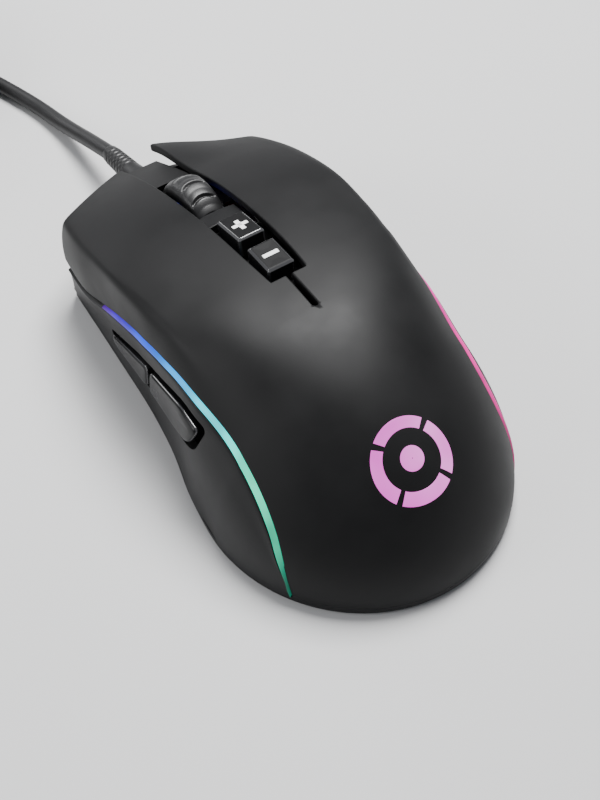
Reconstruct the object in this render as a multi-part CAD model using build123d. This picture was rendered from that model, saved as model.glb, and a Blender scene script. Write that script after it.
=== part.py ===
from build123d import *
import math
import os

# A wired right-handed gaming mouse, in millimetres.
# +Y points forward along the cable, +X to the right and +Z up.
# The origin lies on the table, under the middle of the mouse.

# ---- driving dimensions: outer shape -------------------------------------------------
HALF_LENGTH = 62.2            # from the middle to the button tips, and to the heel
HUMP_HEIGHT = 40.5            # highest point of the palm above the table
HUMP_Y = -12.0                # where the palm is highest
HUMP_TO_HEEL = 50.2           # from the hump back to the heel
HEEL_POWER = 1.75             # roundness of the heel's profile
NOSE_DROP = 21.9              # fall of the top line from the hump to the button tips
NOSE_RUN = 74.2               # from the hump to the button tips
NOSE_POWER = 2.2              # how late the top line falls away
REAR_CENTRE_Y = -27.0         # the rear half of the plan is a half ellipse about this line
REAR_HALF_WIDTH = 34.0
REAR_RUN = 35.2
WALL = 1.9                    # thickness of the moulded shell
SHELL_BOTTOM = 2.0            # lower edge of the shell, on top of the base plate
SPLIT_GAP = 0.3               # clearance between parts that move past each other

# Half width of the plan in front of the rear ellipse, as (y, half width).
SIDE_LINE = [(-27, 34), (-15, 32.7), (-4, 30), (8, 28), (22, 26.9), (40, 25.8), (68, 24.2)]
# Distance of the shoulder crease from the middle, as (y, distance).
CREASE_LINE = [(-27, 28.5), (-4, 27), (9, 27.8), (22, 28.5), (37, 27.7), (47, 26.1), (54, 24.3), (68, 22)]
# Fall from the top line to the shoulder crease, as (y, fall).
CREASE_FALL = [(-27, 6), (-4, 4.6), (9, 3.6), (22, 2.4), (37, 2.1), (51, 1.8), (68, 1.2)]
CROWN_POWER = 2.6             # how late the top falls away towards the crease
# How far the side wall bulges outward below the crease, as (y, bulge factor).
SIDE_BULGE = [(-27, 15), (-2, 15), (8, 8), (14, 4), (22, 2.5), (30, 4), (37, 9), (47, 8), (68, 6)]
# Height of the line where the top cover ends and the light strip begins, as (y, height).
STRIP_LINE = [(-46.5, 1.5), (-45.2, 6.5), (-41.3, 13.7), (-36.9, 18.6), (-31.1, 22.9), (-24.7, 26.1),
              (-17.3, 28.5), (-9.3, 29.7), (-1.5, 29.6), (6, 28.0), (13.6, 25.2), (21, 21.9),
              (28.7, 17.7), (37, 13.6), (44, 11.2), (52, 10.0), (66, 9.5)]
CORNER_X = 25.3               # the buttons' outer front corners
CORNER_Y = 50.6
TIP_X = 4.4                   # the buttons' inner front tips
STRIP_REAR_Y = -46.0
STRIP_FRONT_Y = 29.0
STRIP_WIDTH = 1.15            # visible height of each light strip at its middle
STRIP_SEAM = 0.03             # hairline between the strip and its neighbours

# ---- driving dimensions: slot, wheel and keys ----------------------------------------
SLOT_HALF = [(-2.5, 4.2), (9, 4.9), (30, 5.2), (44, 4.9), (68, 4.4)]
SLOT_REAR_Y = -1.6
SLIT_END_Y = -12.0
SLIT_HALF = 0.65
WHEEL_Y = 35.0
WHEEL_Z = 23.2
WHEEL_RADIUS = 10.4
WHEEL_HALF_WIDTH = 3.8
TYRE_GROOVES = 14
DISH_RADIUS = WHEEL_RADIUS - 4.4      # the hub's dished sides
WELL_FRONT_Y = 44.2
AXLE_RADIUS = 1.25
CHEEK_INNER = 4.4             # the cradle's cheeks stand this far either side of the middle
CHEEK_OUTER = 5.8
CARRIER_FLOOR = 10.6
CARRIER_TRAVEL = 0.5          # middle click
BRIDGE_REAR_Y = 22.6
BRIDGE_FRONT_Y = 27.2
KEY_HALF_WIDTH = 3.2
PLUS_KEY_Y = (12.2, 21.6)     # rear and front edges of the plus key's top
MINUS_KEY_Y = (0.9, 9.3)
KEY_PROUDS = {"plus": (0.65, 0.2), "minus": (0.3, 0.6)}   # height above the slot at each key's rear and front
MARK_DEPTH = 0.3
KEY_FLOOR_DROP = 5.4          # from the slot's edge down to the floor around the keys

# ---- driving dimensions: base, boards and feet ---------------------------------------
FOOT = 0.8
BASE_BOTTOM = FOOT
BOARD_BOTTOM = 6.0
BOARD_THICK = 1.6
BOARD_TOP = BOARD_BOTTOM + BOARD_THICK
SENSOR_Y = -4.0
POSTS = [(-11, 26), (11, 26), (-14, -28), (14, -28)]
COVER_POSTS = [(-19, -40), (19, -40)]
BOSS_BOTTOM = 9.0
SCREW_RADIUS = 0.95
KEY_BOARD_BOTTOM = 24.6
KEY_BOARD_THICK = 1.2
SWITCH_X = 13.0
SWITCH_Y = 42.0
SWITCH_SIZE = (5.8, 12.8, 6.5)
PLUNGER_TOP = BOARD_TOP + SWITCH_SIZE[2] + 0.9
MIDDLE_SWITCH_HEIGHT = 2.0
MIDDLE_PLUNGER_TOP = BOARD_TOP + MIDDLE_SWITCH_HEIGHT + 0.7

# ---- driving dimensions: thumb buttons -----------------------------------------------
THUMB_PROUD = 0.9             # the thumb buttons stand this far out of the side panel
THUMB_DEPTH = 2.4             # and reach this far behind its outer face
THUMB_TRAVEL = 0.5
THUMB_STEM_RADIUS = 1.1
SIDE_SWITCH_X = -18.4
SIDE_SWITCH_HALF = 1.7

# ---- driving dimensions: cable -------------------------------------------------------
CORD_RADIUS = 1.9
BOOT_START = (0.0, 58.6, 14.2)
CORD_ROUTE = [(0.0, 76.0, 10.2), (-0.4, 83.5, 7.7), (-1.0, 91.5, 4.9), (-1.8, 99.3, 2.7), (-3.2, 107.2, 2.0),
              (-6.0, 115.8, 2.0), (-9.4, 124.8, 2.0)]
COIL_CENTRE = (-38.0, 138.0)
COIL_TURNS_PER_LAYER = 3
COIL_LAYERS = 4
COIL_MIDDLE_RADIUS = 22.0
TAIL_ROUTE = [(-65.7, 124.6, 12.9), (-65.4, 115.0, 9.6), (-64.2, 105.5, 5.9), (-62.8, 97.0, 4.1),
              (-62.0, 89.5, 4.0)]
PLUG_Y = 89.5
PLUG_X = -62.0
PLUG_Z = 4.0


# ---- curves of the outer shape -------------------------------------------------------
def value_at(line, y):
    """Smooth curve through the (y, value) points of a line."""
    if y <= line[0][0]:
        return line[0][1]
    if y >= line[-1][0]:
        return line[-1][1]
    last = len(line) - 1
    at = next(i for i in range(last) if line[i][0] <= y <= line[i + 1][0])
    slopes = []
    for i in (at, at + 1):
        before = line[max(i - 1, 0)]
        after = line[min(i + 1, last)]
        slopes.append((after[1] - before[1]) / (after[0] - before[0]))
    span = line[at + 1][0] - line[at][0]
    t = (y - line[at][0]) / span
    rise = line[at + 1][1] - line[at][1]
    bend = slopes[0] * span - rise
    settle = rise - slopes[1] * span
    return line[at][1] + t * rise + t * (1 - t) * ((1 - t) * bend + t * settle)


def ease(t):
    t = min(max(t, 0.0), 1.0)
    return t * t * (3 - 2 * t)


def top_line(y, inset=0.0):
    """Height of the shell's middle line."""
    if y >= HUMP_Y:
        return HUMP_HEIGHT - NOSE_DROP * ((y - HUMP_Y) / NOSE_RUN) ** NOSE_POWER - inset
    along = min((HUMP_Y - y) / (HUMP_TO_HEEL - inset), 1.0)
    arc = (1 - along**HEEL_POWER) ** (1 / HEEL_POWER)
    return SHELL_BOTTOM + (HUMP_HEIGHT - inset - SHELL_BOTTOM) * arc


def half_width(y, inset=0.0):
    """Half width of the shell at its lower edge."""
    if y >= REAR_CENTRE_Y:
        return value_at(SIDE_LINE, y) - inset
    along = min((REAR_CENTRE_Y - y) / (REAR_RUN - inset), 1.0)
    return (REAR_HALF_WIDTH - inset) * math.sqrt(1 - along**2)


def section_point(y, t, inset=0.0):
    """(x, z) on the right half of the section at y: t is 0 at the top and 1 at the lower edge."""
    top = top_line(y, inset)
    base_x = half_width(y, inset)
    height = top - SHELL_BOTTOM
    power = min(1.8 + 1.7 * math.exp((y + 9.3) / 11), 6.0)
    angle = math.pi / 2 - math.pi / 4 * t / 0.6 if t < 0.6 else math.pi / 4 * (1 - t) / 0.4
    round_x = base_x * max(math.cos(angle), 0.0) ** (2 / power)
    round_z = SHELL_BOTTOM + height * max(math.sin(angle), 0.0) ** (2 / power)
    crease_x = value_at(CREASE_LINE, y) - inset
    crease_z = top - value_at(CREASE_FALL, y)
    if t < 0.6:
        across = t / 0.6
        crease_side_x = crease_x * across
        crease_side_z = top - (top - crease_z) * across**CROWN_POWER
    else:
        down = (t - 0.6) / 0.4
        bulge = value_at(SIDE_BULGE, y) * down * (1 - down) ** 2
        crease_side_x = crease_x + (base_x - crease_x) * down + bulge
        crease_side_z = crease_z + (SHELL_BOTTOM - crease_z) * down
    weight = ease((y + 16) / 26)
    x = weight * crease_side_x + (1 - weight) * round_x
    z = weight * crease_side_z + (1 - weight) * round_z
    return x, z


def body_section(y, inset, floor):
    """Closed outline of the whole body at y, from the floor up one side and down the other."""
    top_steps = 6
    side_steps = 5
    top = [section_point(y, 0.6 * i / top_steps, inset) for i in range(top_steps + 1)]
    side = [section_point(y, 0.6 + 0.4 * i / side_steps, inset) for i in range(side_steps + 1)]
    across = [(-x, y, z) for x, z in reversed(top)] + [(x, y, z) for x, z in top[1:]]
    right = [(x, y, z) for x, z in side]
    left = [(-x, y, z) for x, z in side]
    top_knots = [i / (2 * top_steps) for i in range(2 * top_steps + 1)]
    side_knots = [i / side_steps for i in range(side_steps + 1)]
    base_x = side[-1][0]
    edges = [Edge.make_spline(across, parameters=top_knots), Edge.make_spline(right, parameters=side_knots)]
    if floor < SHELL_BOTTOM:
        edges.append(Edge.make_line((base_x, y, SHELL_BOTTOM), (base_x, y, floor)))
    edges.append(Edge.make_line((base_x, y, floor), (-base_x, y, floor)))
    if floor < SHELL_BOTTOM:
        edges.append(Edge.make_line((-base_x, y, floor), (-base_x, y, SHELL_BOTTOM)))
    edges.append(Edge.make_spline(left, parameters=side_knots))
    return Wire(edges)


def body_solid(inset=0.0, floor=SHELL_BOTTOM):
    """The whole body as one solid, shrunk by the inset, for cutting the shells from."""
    stations = [66, 58, 50, 42, 34, 26, 18, 10, 3, -4, -10, -16, -21.5, REAR_CENTRE_Y]
    for degrees in (15, 29, 42, 54, 65, 75, 83):
        stations.append(REAR_CENTRE_Y - (REAR_RUN - inset) * math.sin(math.radians(degrees)))
    return Solid.make_loft([body_section(y, inset, floor) for y in stations])


# ---- cutters -------------------------------------------------------------------------
def slope_at(height, y):
    step = 0.2
    return (height(y + step) - height(y - step)) / (2 * step)


def side_prism(lower, upper, rear_y, front_y, left_x=-45.0, right_x=45.0, steps=24):
    """The space between two heights along the length, running across in X."""
    stations = [rear_y + (front_y - rear_y) * i / steps for i in range(steps + 1)]
    low = [(left_x, y, lower(y)) for y in stations]
    high = [(left_x, y, upper(y)) for y in reversed(stations)]
    edges = [
        Edge.make_spline(low),
        Edge.make_line(low[-1], high[0]),
        Edge.make_spline(high),
        Edge.make_line(high[-1], low[0]),
    ]
    return extrude(Face(Wire(edges)), amount=right_x - left_x, dir=(1, 0, 0))


def side_polygon(points, left_x, right_x, radius=0.0):
    """A prism across in X from a polygon of (y, z) points, with its corners rounded."""
    face = Face(Wire.make_polygon([(left_x, y, z) for y, z in points]))
    if radius:
        face = Face(face.outer_wire().fillet_2d(radius, face.outer_wire().vertices()))
    return extrude(face, amount=right_x - left_x, dir=(1, 0, 0))


def plan_prism(points, bottom, top):
    face = Face(Wire.make_polygon([(x, y, bottom) for x, y in points]))
    return extrude(face, amount=top - bottom, dir=(0, 0, 1))


def block(x0, x1, y0, y1, z0, z1):
    size = (x1 - x0, y1 - y0, z1 - z0)
    return Pos((x0 + x1) / 2, (y0 + y1) / 2, (z0 + z1) / 2) * Box(*size)


def rod(x, y, z0, z1, radius):
    return Pos(x, y, (z0 + z1) / 2) * Cylinder(radius, z1 - z0)


def rod_x(x0, x1, y, z, radius):
    return Pos((x0 + x1) / 2, y, z) * Rot(0, 90, 0) * Cylinder(radius, x1 - x0)


def front_limit(setback=0.0):
    """Everything behind the swept front edges of the two main buttons."""
    tip = HALF_LENGTH - setback
    sweep = (HALF_LENGTH - CORNER_Y) / (CORNER_X - TIP_X)
    outside = tip - (40 - TIP_X) * sweep
    return plan_prism(
        [(-40, -70), (40, -70), (40, outside), (TIP_X, tip), (-TIP_X, tip), (-40, outside)], -5, 60)


def slot_prism(rear_y, front_y, margin, bottom=-5.0, top=60.0, steps=14):
    """The slot between the buttons in plan, widened or narrowed by the margin."""
    stations = [rear_y + (front_y - rear_y) * i / steps for i in range(steps + 1)]
    right = [(value_at(SLOT_HALF, y) + margin, y, bottom) for y in stations]
    left = [(-x, y, z) for x, y, z in reversed(right)]
    edges = [
        Edge.make_spline(right),
        Edge.make_line(right[-1], left[0]),
        Edge.make_spline(left),
        Edge.make_line(left[-1], right[0]),
    ]
    return extrude(Face(Wire(edges)), amount=top - bottom, dir=(0, 0, 1))


def slit_prism():
    centre_y = SLIT_END_Y + SLIT_HALF
    straight = block(-SLIT_HALF, SLIT_HALF, centre_y, SLOT_REAR_Y + 1, -5, 60)
    return straight + rod(0, centre_y, -5, 60, SLIT_HALF)


def strip_top(y):
    return value_at(STRIP_LINE, y)


def strip_bottom(y):
    """Lower edge of the light strip, which tapers to a point at both ends."""
    taper = ease((y - STRIP_REAR_Y + 1.5) / 7) * ease((STRIP_FRONT_Y + 2 - y) / 16)
    width = STRIP_WIDTH * (0.2 + 0.8 * taper)
    return strip_top(y) - width * math.sqrt(1 + slope_at(strip_top, y) ** 2)


def button_bottom(y):
    """Lower edge of the main buttons: the gap below it opens towards the front."""
    return strip_top(y) + value_at([(-12, 0.25), (5, 0.5), (29, 0.95), (50, 1.9), (66, 1.9)], y)


def panel_top(y):
    return strip_top(y) - 0.4


# ---- shared bodies -------------------------------------------------------------------
OUTER = body_solid()
INNER = body_solid(WALL, floor=SHELL_BOTTOM - 1)
SHELL = OUTER - INNER


def layer(outer_inset, inner_inset, cutter):
    """The part of a cutter that lies between two depths under the outer surface."""
    outside = body_solid(outer_inset, floor=SHELL_BOTTOM - 1)
    inside = body_solid(inner_inset, floor=SHELL_BOTTOM - 2)
    return (outside & cutter) - inside


# ---- top cover and main buttons ------------------------------------------------------
def emblem_plane():
    """The plane that touches the palm at the emblem's centre."""
    y = -45.8
    z = top_line(y)
    slope = slope_at(top_line, y)
    return Plane(origin=(0, y, z), x_dir=(1, 0, 0), z_dir=(0, -slope, 1))


def emblem_cutter():
    """A plain ring round a dot, in four arcs, cut straight into the palm."""
    with BuildSketch() as ring:
        Circle(9.0)
        Circle(6.2, mode=Mode.SUBTRACT)
        with PolarLocations(0, 4, start_angle=45):
            Rectangle(30, 1.1, mode=Mode.SUBTRACT)
    with BuildSketch() as dot:
        Circle(2.7)
    sketch = emblem_plane() * (ring.sketch + dot.sketch)
    return extrude(sketch, amount=4, both=True)


def palm_region():
    edge = HUMP_Y - SPLIT_GAP / 2
    above = side_prism(strip_top, lambda y: 60.0, -46.4, edge)
    heel = block(-45, 45, -70, -46.4, -1, 60)
    return above + heel


def palm_cover():
    cover = SHELL & palm_region()
    pocket = layer(-1, 0.8, emblem_cutter())
    boss_tops = body_solid(WALL / 2, floor=SHELL_BOTTOM - 1)
    for x, y in COVER_POSTS:
        post = (rod(x, y, BOSS_BOTTOM, 45, 2.6) & boss_tops) - rod(x, y, 8, 16, SCREW_RADIUS + 0.05)
        cover += post
    return cover - pocket


def emblem_lens():
    return (layer(0, 0.8, emblem_cutter())) & OUTER


def main_button(side):
    """One button: side is -1 for the left one and +1 for the right one."""
    edge = HUMP_Y + SPLIT_GAP / 2
    region = side_prism(button_bottom, lambda y: 60.0, edge, 65.0)
    half = block(0, 45, -70, 70, -5, 60) if side > 0 else block(-45, 0, -70, 70, -5, 60)
    button = SHELL & region & half & front_limit()
    button -= slot_prism(SLOT_REAR_Y, 68, 0)
    button -= slit_prism()
    x = side * SWITCH_X
    rib = block(x - 1.6, x + 1.6, SWITCH_Y - 1.2, SWITCH_Y + 1.2, PLUNGER_TOP, 40)
    rib &= body_solid(WALL / 2, floor=SHELL_BOTTOM - 1)
    return button + rib


def light_strip(side):
    band = side_prism(lambda y: strip_bottom(y) + STRIP_SEAM, lambda y: strip_top(y) - STRIP_SEAM,
                      STRIP_REAR_Y, STRIP_FRONT_Y - STRIP_SEAM, steps=30)
    half = block(0, 45, -70, 70, -5, 60) if side > 0 else block(-45, 0, -70, 70, -5, 60)
    return SHELL & band & half


# ---- side panels and thumb buttons ---------------------------------------------------
FRONT_THUMB = [(25.8, 11.4), (7.0, 20.2), (8.6, 12.0), (24.2, 9.2)]
BACK_THUMB = [(5.6, 20.6), (-8.5, 24.7), (-15.4, 24.2), (-13.8, 19.4), (-4.0, 14.6), (7.4, 11.9)]
THUMB_WINDOW = [(27.4, 11.8), (6.2, 21.9), (-8.6, 26.2), (-17.0, 25.6), (-15.4, 18.4), (-4.2, 13.1),
                (8.6, 10.4), (24.6, 7.8)]
THUMB_STEMS = [(16.4, 13.4), (-4.5, 19.0)]


def side_panel(side):
    below = side_prism(lambda y: -1.0, strip_bottom, -45.9, STRIP_FRONT_Y, steps=30)
    ahead = side_prism(lambda y: -1.0, panel_top, STRIP_FRONT_Y, 60.0)
    half = block(2, 45, -70, 70, -5, 60) if side > 0 else block(-45, -2, -70, 70, -5, 60)
    panel = (SHELL & below & half) + (SHELL & ahead & half & front_limit(1.2))
    panel -= block(-22, 22, -70, 70, -5, 60)
    if side < 0:
        panel -= side_polygon(THUMB_WINDOW, -45, -15, 1.2)
    return panel


def thumb_bezel():
    """The tray behind the thumb buttons, with a hole for each button's stem."""
    wider = [(28.8, 12.2), (6.6, 23.2), (-8.4, 27.5), (-18.5, 26.8), (-16.6, 17.4), (-4.6, 11.8), (8.4, 9.1),
             (25.4, 6.4)]
    tray = layer(THUMB_DEPTH + THUMB_TRAVEL + 0.4, THUMB_DEPTH + THUMB_TRAVEL + 1.6,
                 side_polygon(wider, -45, -15, 1.2))
    for y, z in THUMB_STEMS:
        tray -= rod_x(-45, -15, y, z, THUMB_STEM_RADIUS + 0.3)
    return tray


def thumb_button(outline, stem):
    cap = layer(-THUMB_PROUD, THUMB_DEPTH, side_polygon(outline, -45, -15, 0.9))
    y, z = stem
    stalk = rod_x(1.0 - half_width(y), SIDE_SWITCH_X - 0.9, y, z, THUMB_STEM_RADIUS)
    return cap + stalk


def side_switch(stem):
    """Small push switch facing the thumb button's stem."""
    y, z = stem
    front_x = SIDE_SWITCH_X - SIDE_SWITCH_HALF + 0.6
    case = block(front_x, SIDE_SWITCH_X + SIDE_SWITCH_HALF, y - 3, y + 3, z - 3, z + 3)
    return case - rod_x(SIDE_SWITCH_X - 2.4, SIDE_SWITCH_X + 0.6, y, z, THUMB_STEM_RADIUS + 0.12)


def side_board():
    """Upright circuit board that carries the two thumb switches."""
    x0 = SIDE_SWITCH_X + SIDE_SWITCH_HALF
    return block(x0, x0 + 1.2, -9, 22, BOARD_TOP, 23.0)


# ---- slot: nose frame, bridge, key frame and keys ------------------------------------
def nose_frame():
    """The front wall under the buttons and the ridge that fills the front of the slot."""
    clear = body_solid(WALL + 1.4, floor=SHELL_BOTTOM - 1)
    wall = (front_limit(3.4) - front_limit(5.2)) & clear & block(-24.2, 24.2, 30, 70, SHELL_BOTTOM, 60)
    ridge = slot_prism(WELL_FRONT_Y, 60.4, -0.4, bottom=SHELL_BOTTOM)
    ridge &= body_solid(1.5, floor=SHELL_BOTTOM - 1)
    hollow = block(-3, 3, WELL_FRONT_Y + 1.6, 56.4, SHELL_BOTTOM - 1, 19)
    frame = wall + (ridge - hollow)
    start = Vector(*BOOT_START)
    end = Vector(*CORD_ROUTE[0])
    along = (end - start).normalized()
    bore = Cylinder(3.35, 24, align=(Align.CENTER, Align.CENTER, Align.MIN))
    hole = Plane(origin=start - along * 6, z_dir=along) * bore
    return frame - hole - wheel_room()


def wheel_room():
    return rod_x(-9, 9, WHEEL_Y, WHEEL_Z - CARRIER_TRAVEL / 2, WHEEL_RADIUS + 0.6 + CARRIER_TRAVEL / 2)


def bridge_plate():
    plan = slot_prism(BRIDGE_REAR_Y, BRIDGE_FRONT_Y, -0.35)
    return layer(2.0, 4.2, plan) - wheel_room()


def key_frame():
    """Floor round the keys, with the wall that closes the back of the slot."""
    floor = layer(KEY_FLOOR_DROP, KEY_FLOOR_DROP + 1.4, block(-6.4, 6.4, -3.6, 22.3, -5, 60))
    rear = layer(WALL + 0.4, KEY_FLOOR_DROP + 0.5, block(-4.6, 4.6, -3.4, -2.2, -5, 60))
    front = layer(4.4, KEY_FLOOR_DROP + 0.5, block(-4.6, 4.6, 21.9, 23.2, -5, 60))
    frame = floor + rear + front
    for span in (PLUS_KEY_Y, MINUS_KEY_Y):
        y = sum(span) / 2
        frame -= block(-2.0, 2.0, y - 2.0, y + 2.0, -5, 60)
    return frame


def key_plane(span, proud):
    """Plane of a key's top face, through its rear and front edges."""
    rear_z = top_line(span[0]) + proud[0]
    front_z = top_line(span[1]) + proud[1]
    slope = (front_z - rear_z) / (span[1] - span[0])
    middle = (0, (span[0] + span[1]) / 2, (rear_z + front_z) / 2)
    return Plane(origin=middle, x_dir=(1, 0, 0), z_dir=(0, -slope, 1))


def mark_sketch(name):
    with BuildSketch() as mark:
        Rectangle(3.7, 1.05)
        if name == "plus":
            Rectangle(1.05, 3.7)
    return mark.sketch


def keycap(name, span):
    plane = key_plane(span, KEY_PROUDS[name])
    length = span[1] - span[0]
    wide = 2 * KEY_HALF_WIDTH
    flare = 0.9
    height = 3.4
    top = plane * Rectangle(wide, length)
    foot = plane.offset(-height) * Rectangle(wide + flare, length + flare)
    cap = loft([foot.face(), top.face()])
    top_edges = cap.faces().sort_by(Axis.Z)[-1].edges()
    cap = chamfer(top_edges, 0.28)
    middle_y = sum(span) / 2
    stem_bottom = KEY_BOARD_BOTTOM + KEY_BOARD_THICK + 3.0
    stem = block(-1.5, 1.5, middle_y - 1.5, middle_y + 1.5, stem_bottom, plane.origin.Z - 2)
    pocket = extrude(plane * mark_sketch(name), amount=MARK_DEPTH, both=True)
    return cap + stem - pocket


def key_mark(name, span):
    """The white sign moulded flush into a key."""
    plane = key_plane(span, KEY_PROUDS[name])
    return extrude(plane * mark_sketch(name), amount=-MARK_DEPTH)


def key_board():
    board = block(-7.5, 7.5, -3.0, 21.5, KEY_BOARD_BOTTOM, KEY_BOARD_BOTTOM + KEY_BOARD_THICK)
    return board


def key_board_posts():
    """Four legs that stand the key board on the main board."""
    legs = [block(x - 1, x + 1, y - 1, y + 1, BOARD_TOP, KEY_BOARD_BOTTOM) for x in (-6, 6) for y in (-1, 20)]
    return Compound(children=legs)


def key_switch(span):
    y = sum(span) / 2
    z0 = KEY_BOARD_BOTTOM + KEY_BOARD_THICK
    return block(-3, 3, y - 3, y + 3, z0, z0 + 3.4) - block(-1.65, 1.65, y - 1.65, y + 1.65, z0 + 1.2, z0 + 4)


# ---- wheel ---------------------------------------------------------------------------
def wheel_tyre():
    """Rubber tyre with a crowned tread and grooves that fade towards its sides."""
    half = WHEEL_HALF_WIDTH
    inner = WHEEL_RADIUS - 3.0
    with BuildSketch(Plane.XZ) as profile:
        with BuildLine():
            Line((-half, inner), (half, inner))
            Line((half, inner), (half, WHEEL_RADIUS - 1.7))
            ThreePointArc((half, WHEEL_RADIUS - 1.7), (0, WHEEL_RADIUS), (-half, WHEEL_RADIUS - 1.7))
            Line((-half, WHEEL_RADIUS - 1.7), (-half, inner))
        make_face()
    tyre = revolve(profile.sketch, axis=Axis.X)
    for i in range(TYRE_GROOVES):
        angle = 360 * i / TYRE_GROOVES
        tyre -= Rot(angle, 0, 0) * rod_x(-5, 5, 0, WHEEL_RADIUS + 0.15, 0.7)
    return Pos(0, WHEEL_Y, WHEEL_Z) * tyre


def wheel_hub():
    hub = rod_x(-WHEEL_HALF_WIDTH + 0.4, WHEEL_HALF_WIDTH - 0.4, WHEEL_Y, WHEEL_Z, WHEEL_RADIUS - 3.0)
    dish = rod_x(2.2, WHEEL_HALF_WIDTH, WHEEL_Y, WHEEL_Z, DISH_RADIUS)
    dish += rod_x(-WHEEL_HALF_WIDTH, -2.2, WHEEL_Y, WHEEL_Z, DISH_RADIUS)
    boss = rod_x(-WHEEL_HALF_WIDTH, WHEEL_HALF_WIDTH, WHEEL_Y, WHEEL_Z, 2.6)
    return hub - dish + boss - rod_x(-6, 6, WHEEL_Y, WHEEL_Z, AXLE_RADIUS)


def wheel_axle():
    return rod_x(-8.0, 7.0, WHEEL_Y, WHEEL_Z, AXLE_RADIUS)


def wheel_carrier():
    """The cradle that holds the axle and presses the middle switch."""
    carrier = block(-CHEEK_OUTER, CHEEK_OUTER, 29.8, 41.0, CARRIER_FLOOR, 12.2)
    for side in (-1, 1):
        x0, x1 = sorted((side * CHEEK_INNER, side * CHEEK_OUTER))
        cheek = block(x0, x1, WHEEL_Y - 4, WHEEL_Y + 4, 12.2, WHEEL_Z + 1.5)
        carrier += cheek + rod_x(x0, x1, WHEEL_Y, WHEEL_Z, 3.2)
    carrier += block(-1.2, 1.2, 29.8, 32.2, MIDDLE_PLUNGER_TOP, CARRIER_FLOOR)
    return carrier - rod_x(-9, 9, WHEEL_Y, WHEEL_Z, AXLE_RADIUS + 0.06)


def wheel_encoder():
    body = block(-10.4, -CHEEK_OUTER, WHEEL_Y - 3.5, WHEEL_Y + 3.5, WHEEL_Z - 5.0, WHEEL_Z + 1.9)
    return body - rod_x(-11, -5, WHEEL_Y, WHEEL_Z, AXLE_RADIUS + 0.06)


def carrier_springs():
    """Two small coil springs under the cradle, as the tubes they fill."""
    top = CARRIER_FLOOR - CARRIER_TRAVEL - 0.1
    tubes = []
    for x in (-4.0, 4.0):
        tubes.append(rod(x, 39.0, BOARD_TOP, top, 1.2) - rod(x, 39.0, BOARD_TOP - 1, top + 1, 0.8))
    return Compound(children=tubes)


def wheel_glow_ring(side):
    """Clear ring let into the side of the hub, lit from inside."""
    x0, x1 = sorted((side * 2.2, side * (WHEEL_HALF_WIDTH - 0.15)))
    ring = rod_x(x0, x1, WHEEL_Y, WHEEL_Z, DISH_RADIUS - 0.3)
    return ring - rod_x(x0 - 1, x1 + 1, WHEEL_Y, WHEEL_Z, DISH_RADIUS - 1.9)


# ---- base, boards and switches -------------------------------------------------------
def base_outline(bottom, top, inset=0.0):
    """The mouse's footprint as a slab."""
    degrees = (0, 15, 29, 42, 54, 65, 75, 83)
    rear = [REAR_CENTRE_Y - (REAR_RUN - inset) * math.sin(math.radians(a)) for a in degrees]
    stations = [62, 52, 42, 32, 22, 12, 4, -4, -12, -19] + rear
    right = [(half_width(y, inset), y, bottom) for y in stations]
    right.append((0, REAR_CENTRE_Y - REAR_RUN + inset, bottom))
    left = [(-x, y, z) for x, y, z in reversed(right)]
    front = Edge.make_line(left[-1], right[0])
    wire = Wire([Edge.make_spline(right), Edge.make_spline(left), front])
    return extrude(Face(wire), amount=top - bottom, dir=(0, 0, 1))


def base_plate():
    plate = base_outline(BASE_BOTTOM, SHELL_BOTTOM) & front_limit(2.2)
    for x, y in POSTS:
        plate += rod(x, y, BASE_BOTTOM, BOARD_BOTTOM, 2.6)
        plate -= rod(x, y, 3.0, BOARD_BOTTOM + 1, SCREW_RADIUS + 0.05)
    for x, y in COVER_POSTS:
        plate += rod(x, y, BASE_BOTTOM, BOSS_BOTTOM, 2.6)
        plate -= rod(x, y, 0, BOSS_BOTTOM + 1, SCREW_RADIUS + 0.15)
        plate -= rod(x, y, 0, SHELL_BOTTOM, 2.2)
    window = block(-5.2, 5.2, SENSOR_Y - 7.2, SENSOR_Y + 7.2, 0, SHELL_BOTTOM + 1)
    return plate - window


def glide(centre_y, length, width):
    with BuildSketch(Plane.XY) as shape:
        with Locations((0, centre_y)):
            SlotOverall(length, width)
    return chamfer(extrude(shape.sketch, amount=FOOT).edges().group_by(Axis.Z)[0], 0.25)


def sensor_glide():
    ring = rod(0, SENSOR_Y, 0, FOOT, 12.5) - rod(0, SENSOR_Y, -1, FOOT + 1, 9.6)
    return chamfer(ring.edges().group_by(Axis.Z)[0], 0.25)


def main_board():
    outline = [(-19, -34), (19, -34), (19, 44), (16.5, 49), (5, 49), (5, 43.6), (-5, 43.6), (-5, 49),
               (-16.5, 49), (-19, 44)]
    board = plan_prism(outline, BOARD_BOTTOM, BOARD_TOP)
    for x, y in POSTS:
        board -= rod(x, y, 0, 20, SCREW_RADIUS + 0.15)
    return board - block(-3, 3, SENSOR_Y - 3, SENSOR_Y + 3, 0, 20)


def screw(x, y, head_bottom, head_top, shank_bottom, shank_top):
    head = rod(x, y, head_bottom, head_top, 1.9)
    cross = block(x - 1.1, x + 1.1, y - 0.25, y + 0.25, head_top - 0.5, head_top + 1)
    cross += block(x - 0.25, x + 0.25, y - 1.1, y + 1.1, head_top - 0.5, head_top + 1)
    if shank_top > head_top:
        cross = Pos(0, 0, head_bottom - head_top) * cross
    return head + rod(x, y, shank_bottom, shank_top, SCREW_RADIUS) - cross


def board_screws():
    return Compound(children=[screw(x, y, BOARD_TOP, BOARD_TOP + 1.2, 3.6, BOARD_TOP) for x, y in POSTS])


def cover_screws():
    screws = [screw(x, y, BASE_BOTTOM + 0.1, SHELL_BOTTOM, SHELL_BOTTOM, 15.0) for x, y in COVER_POSTS]
    return Compound(children=screws)


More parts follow.
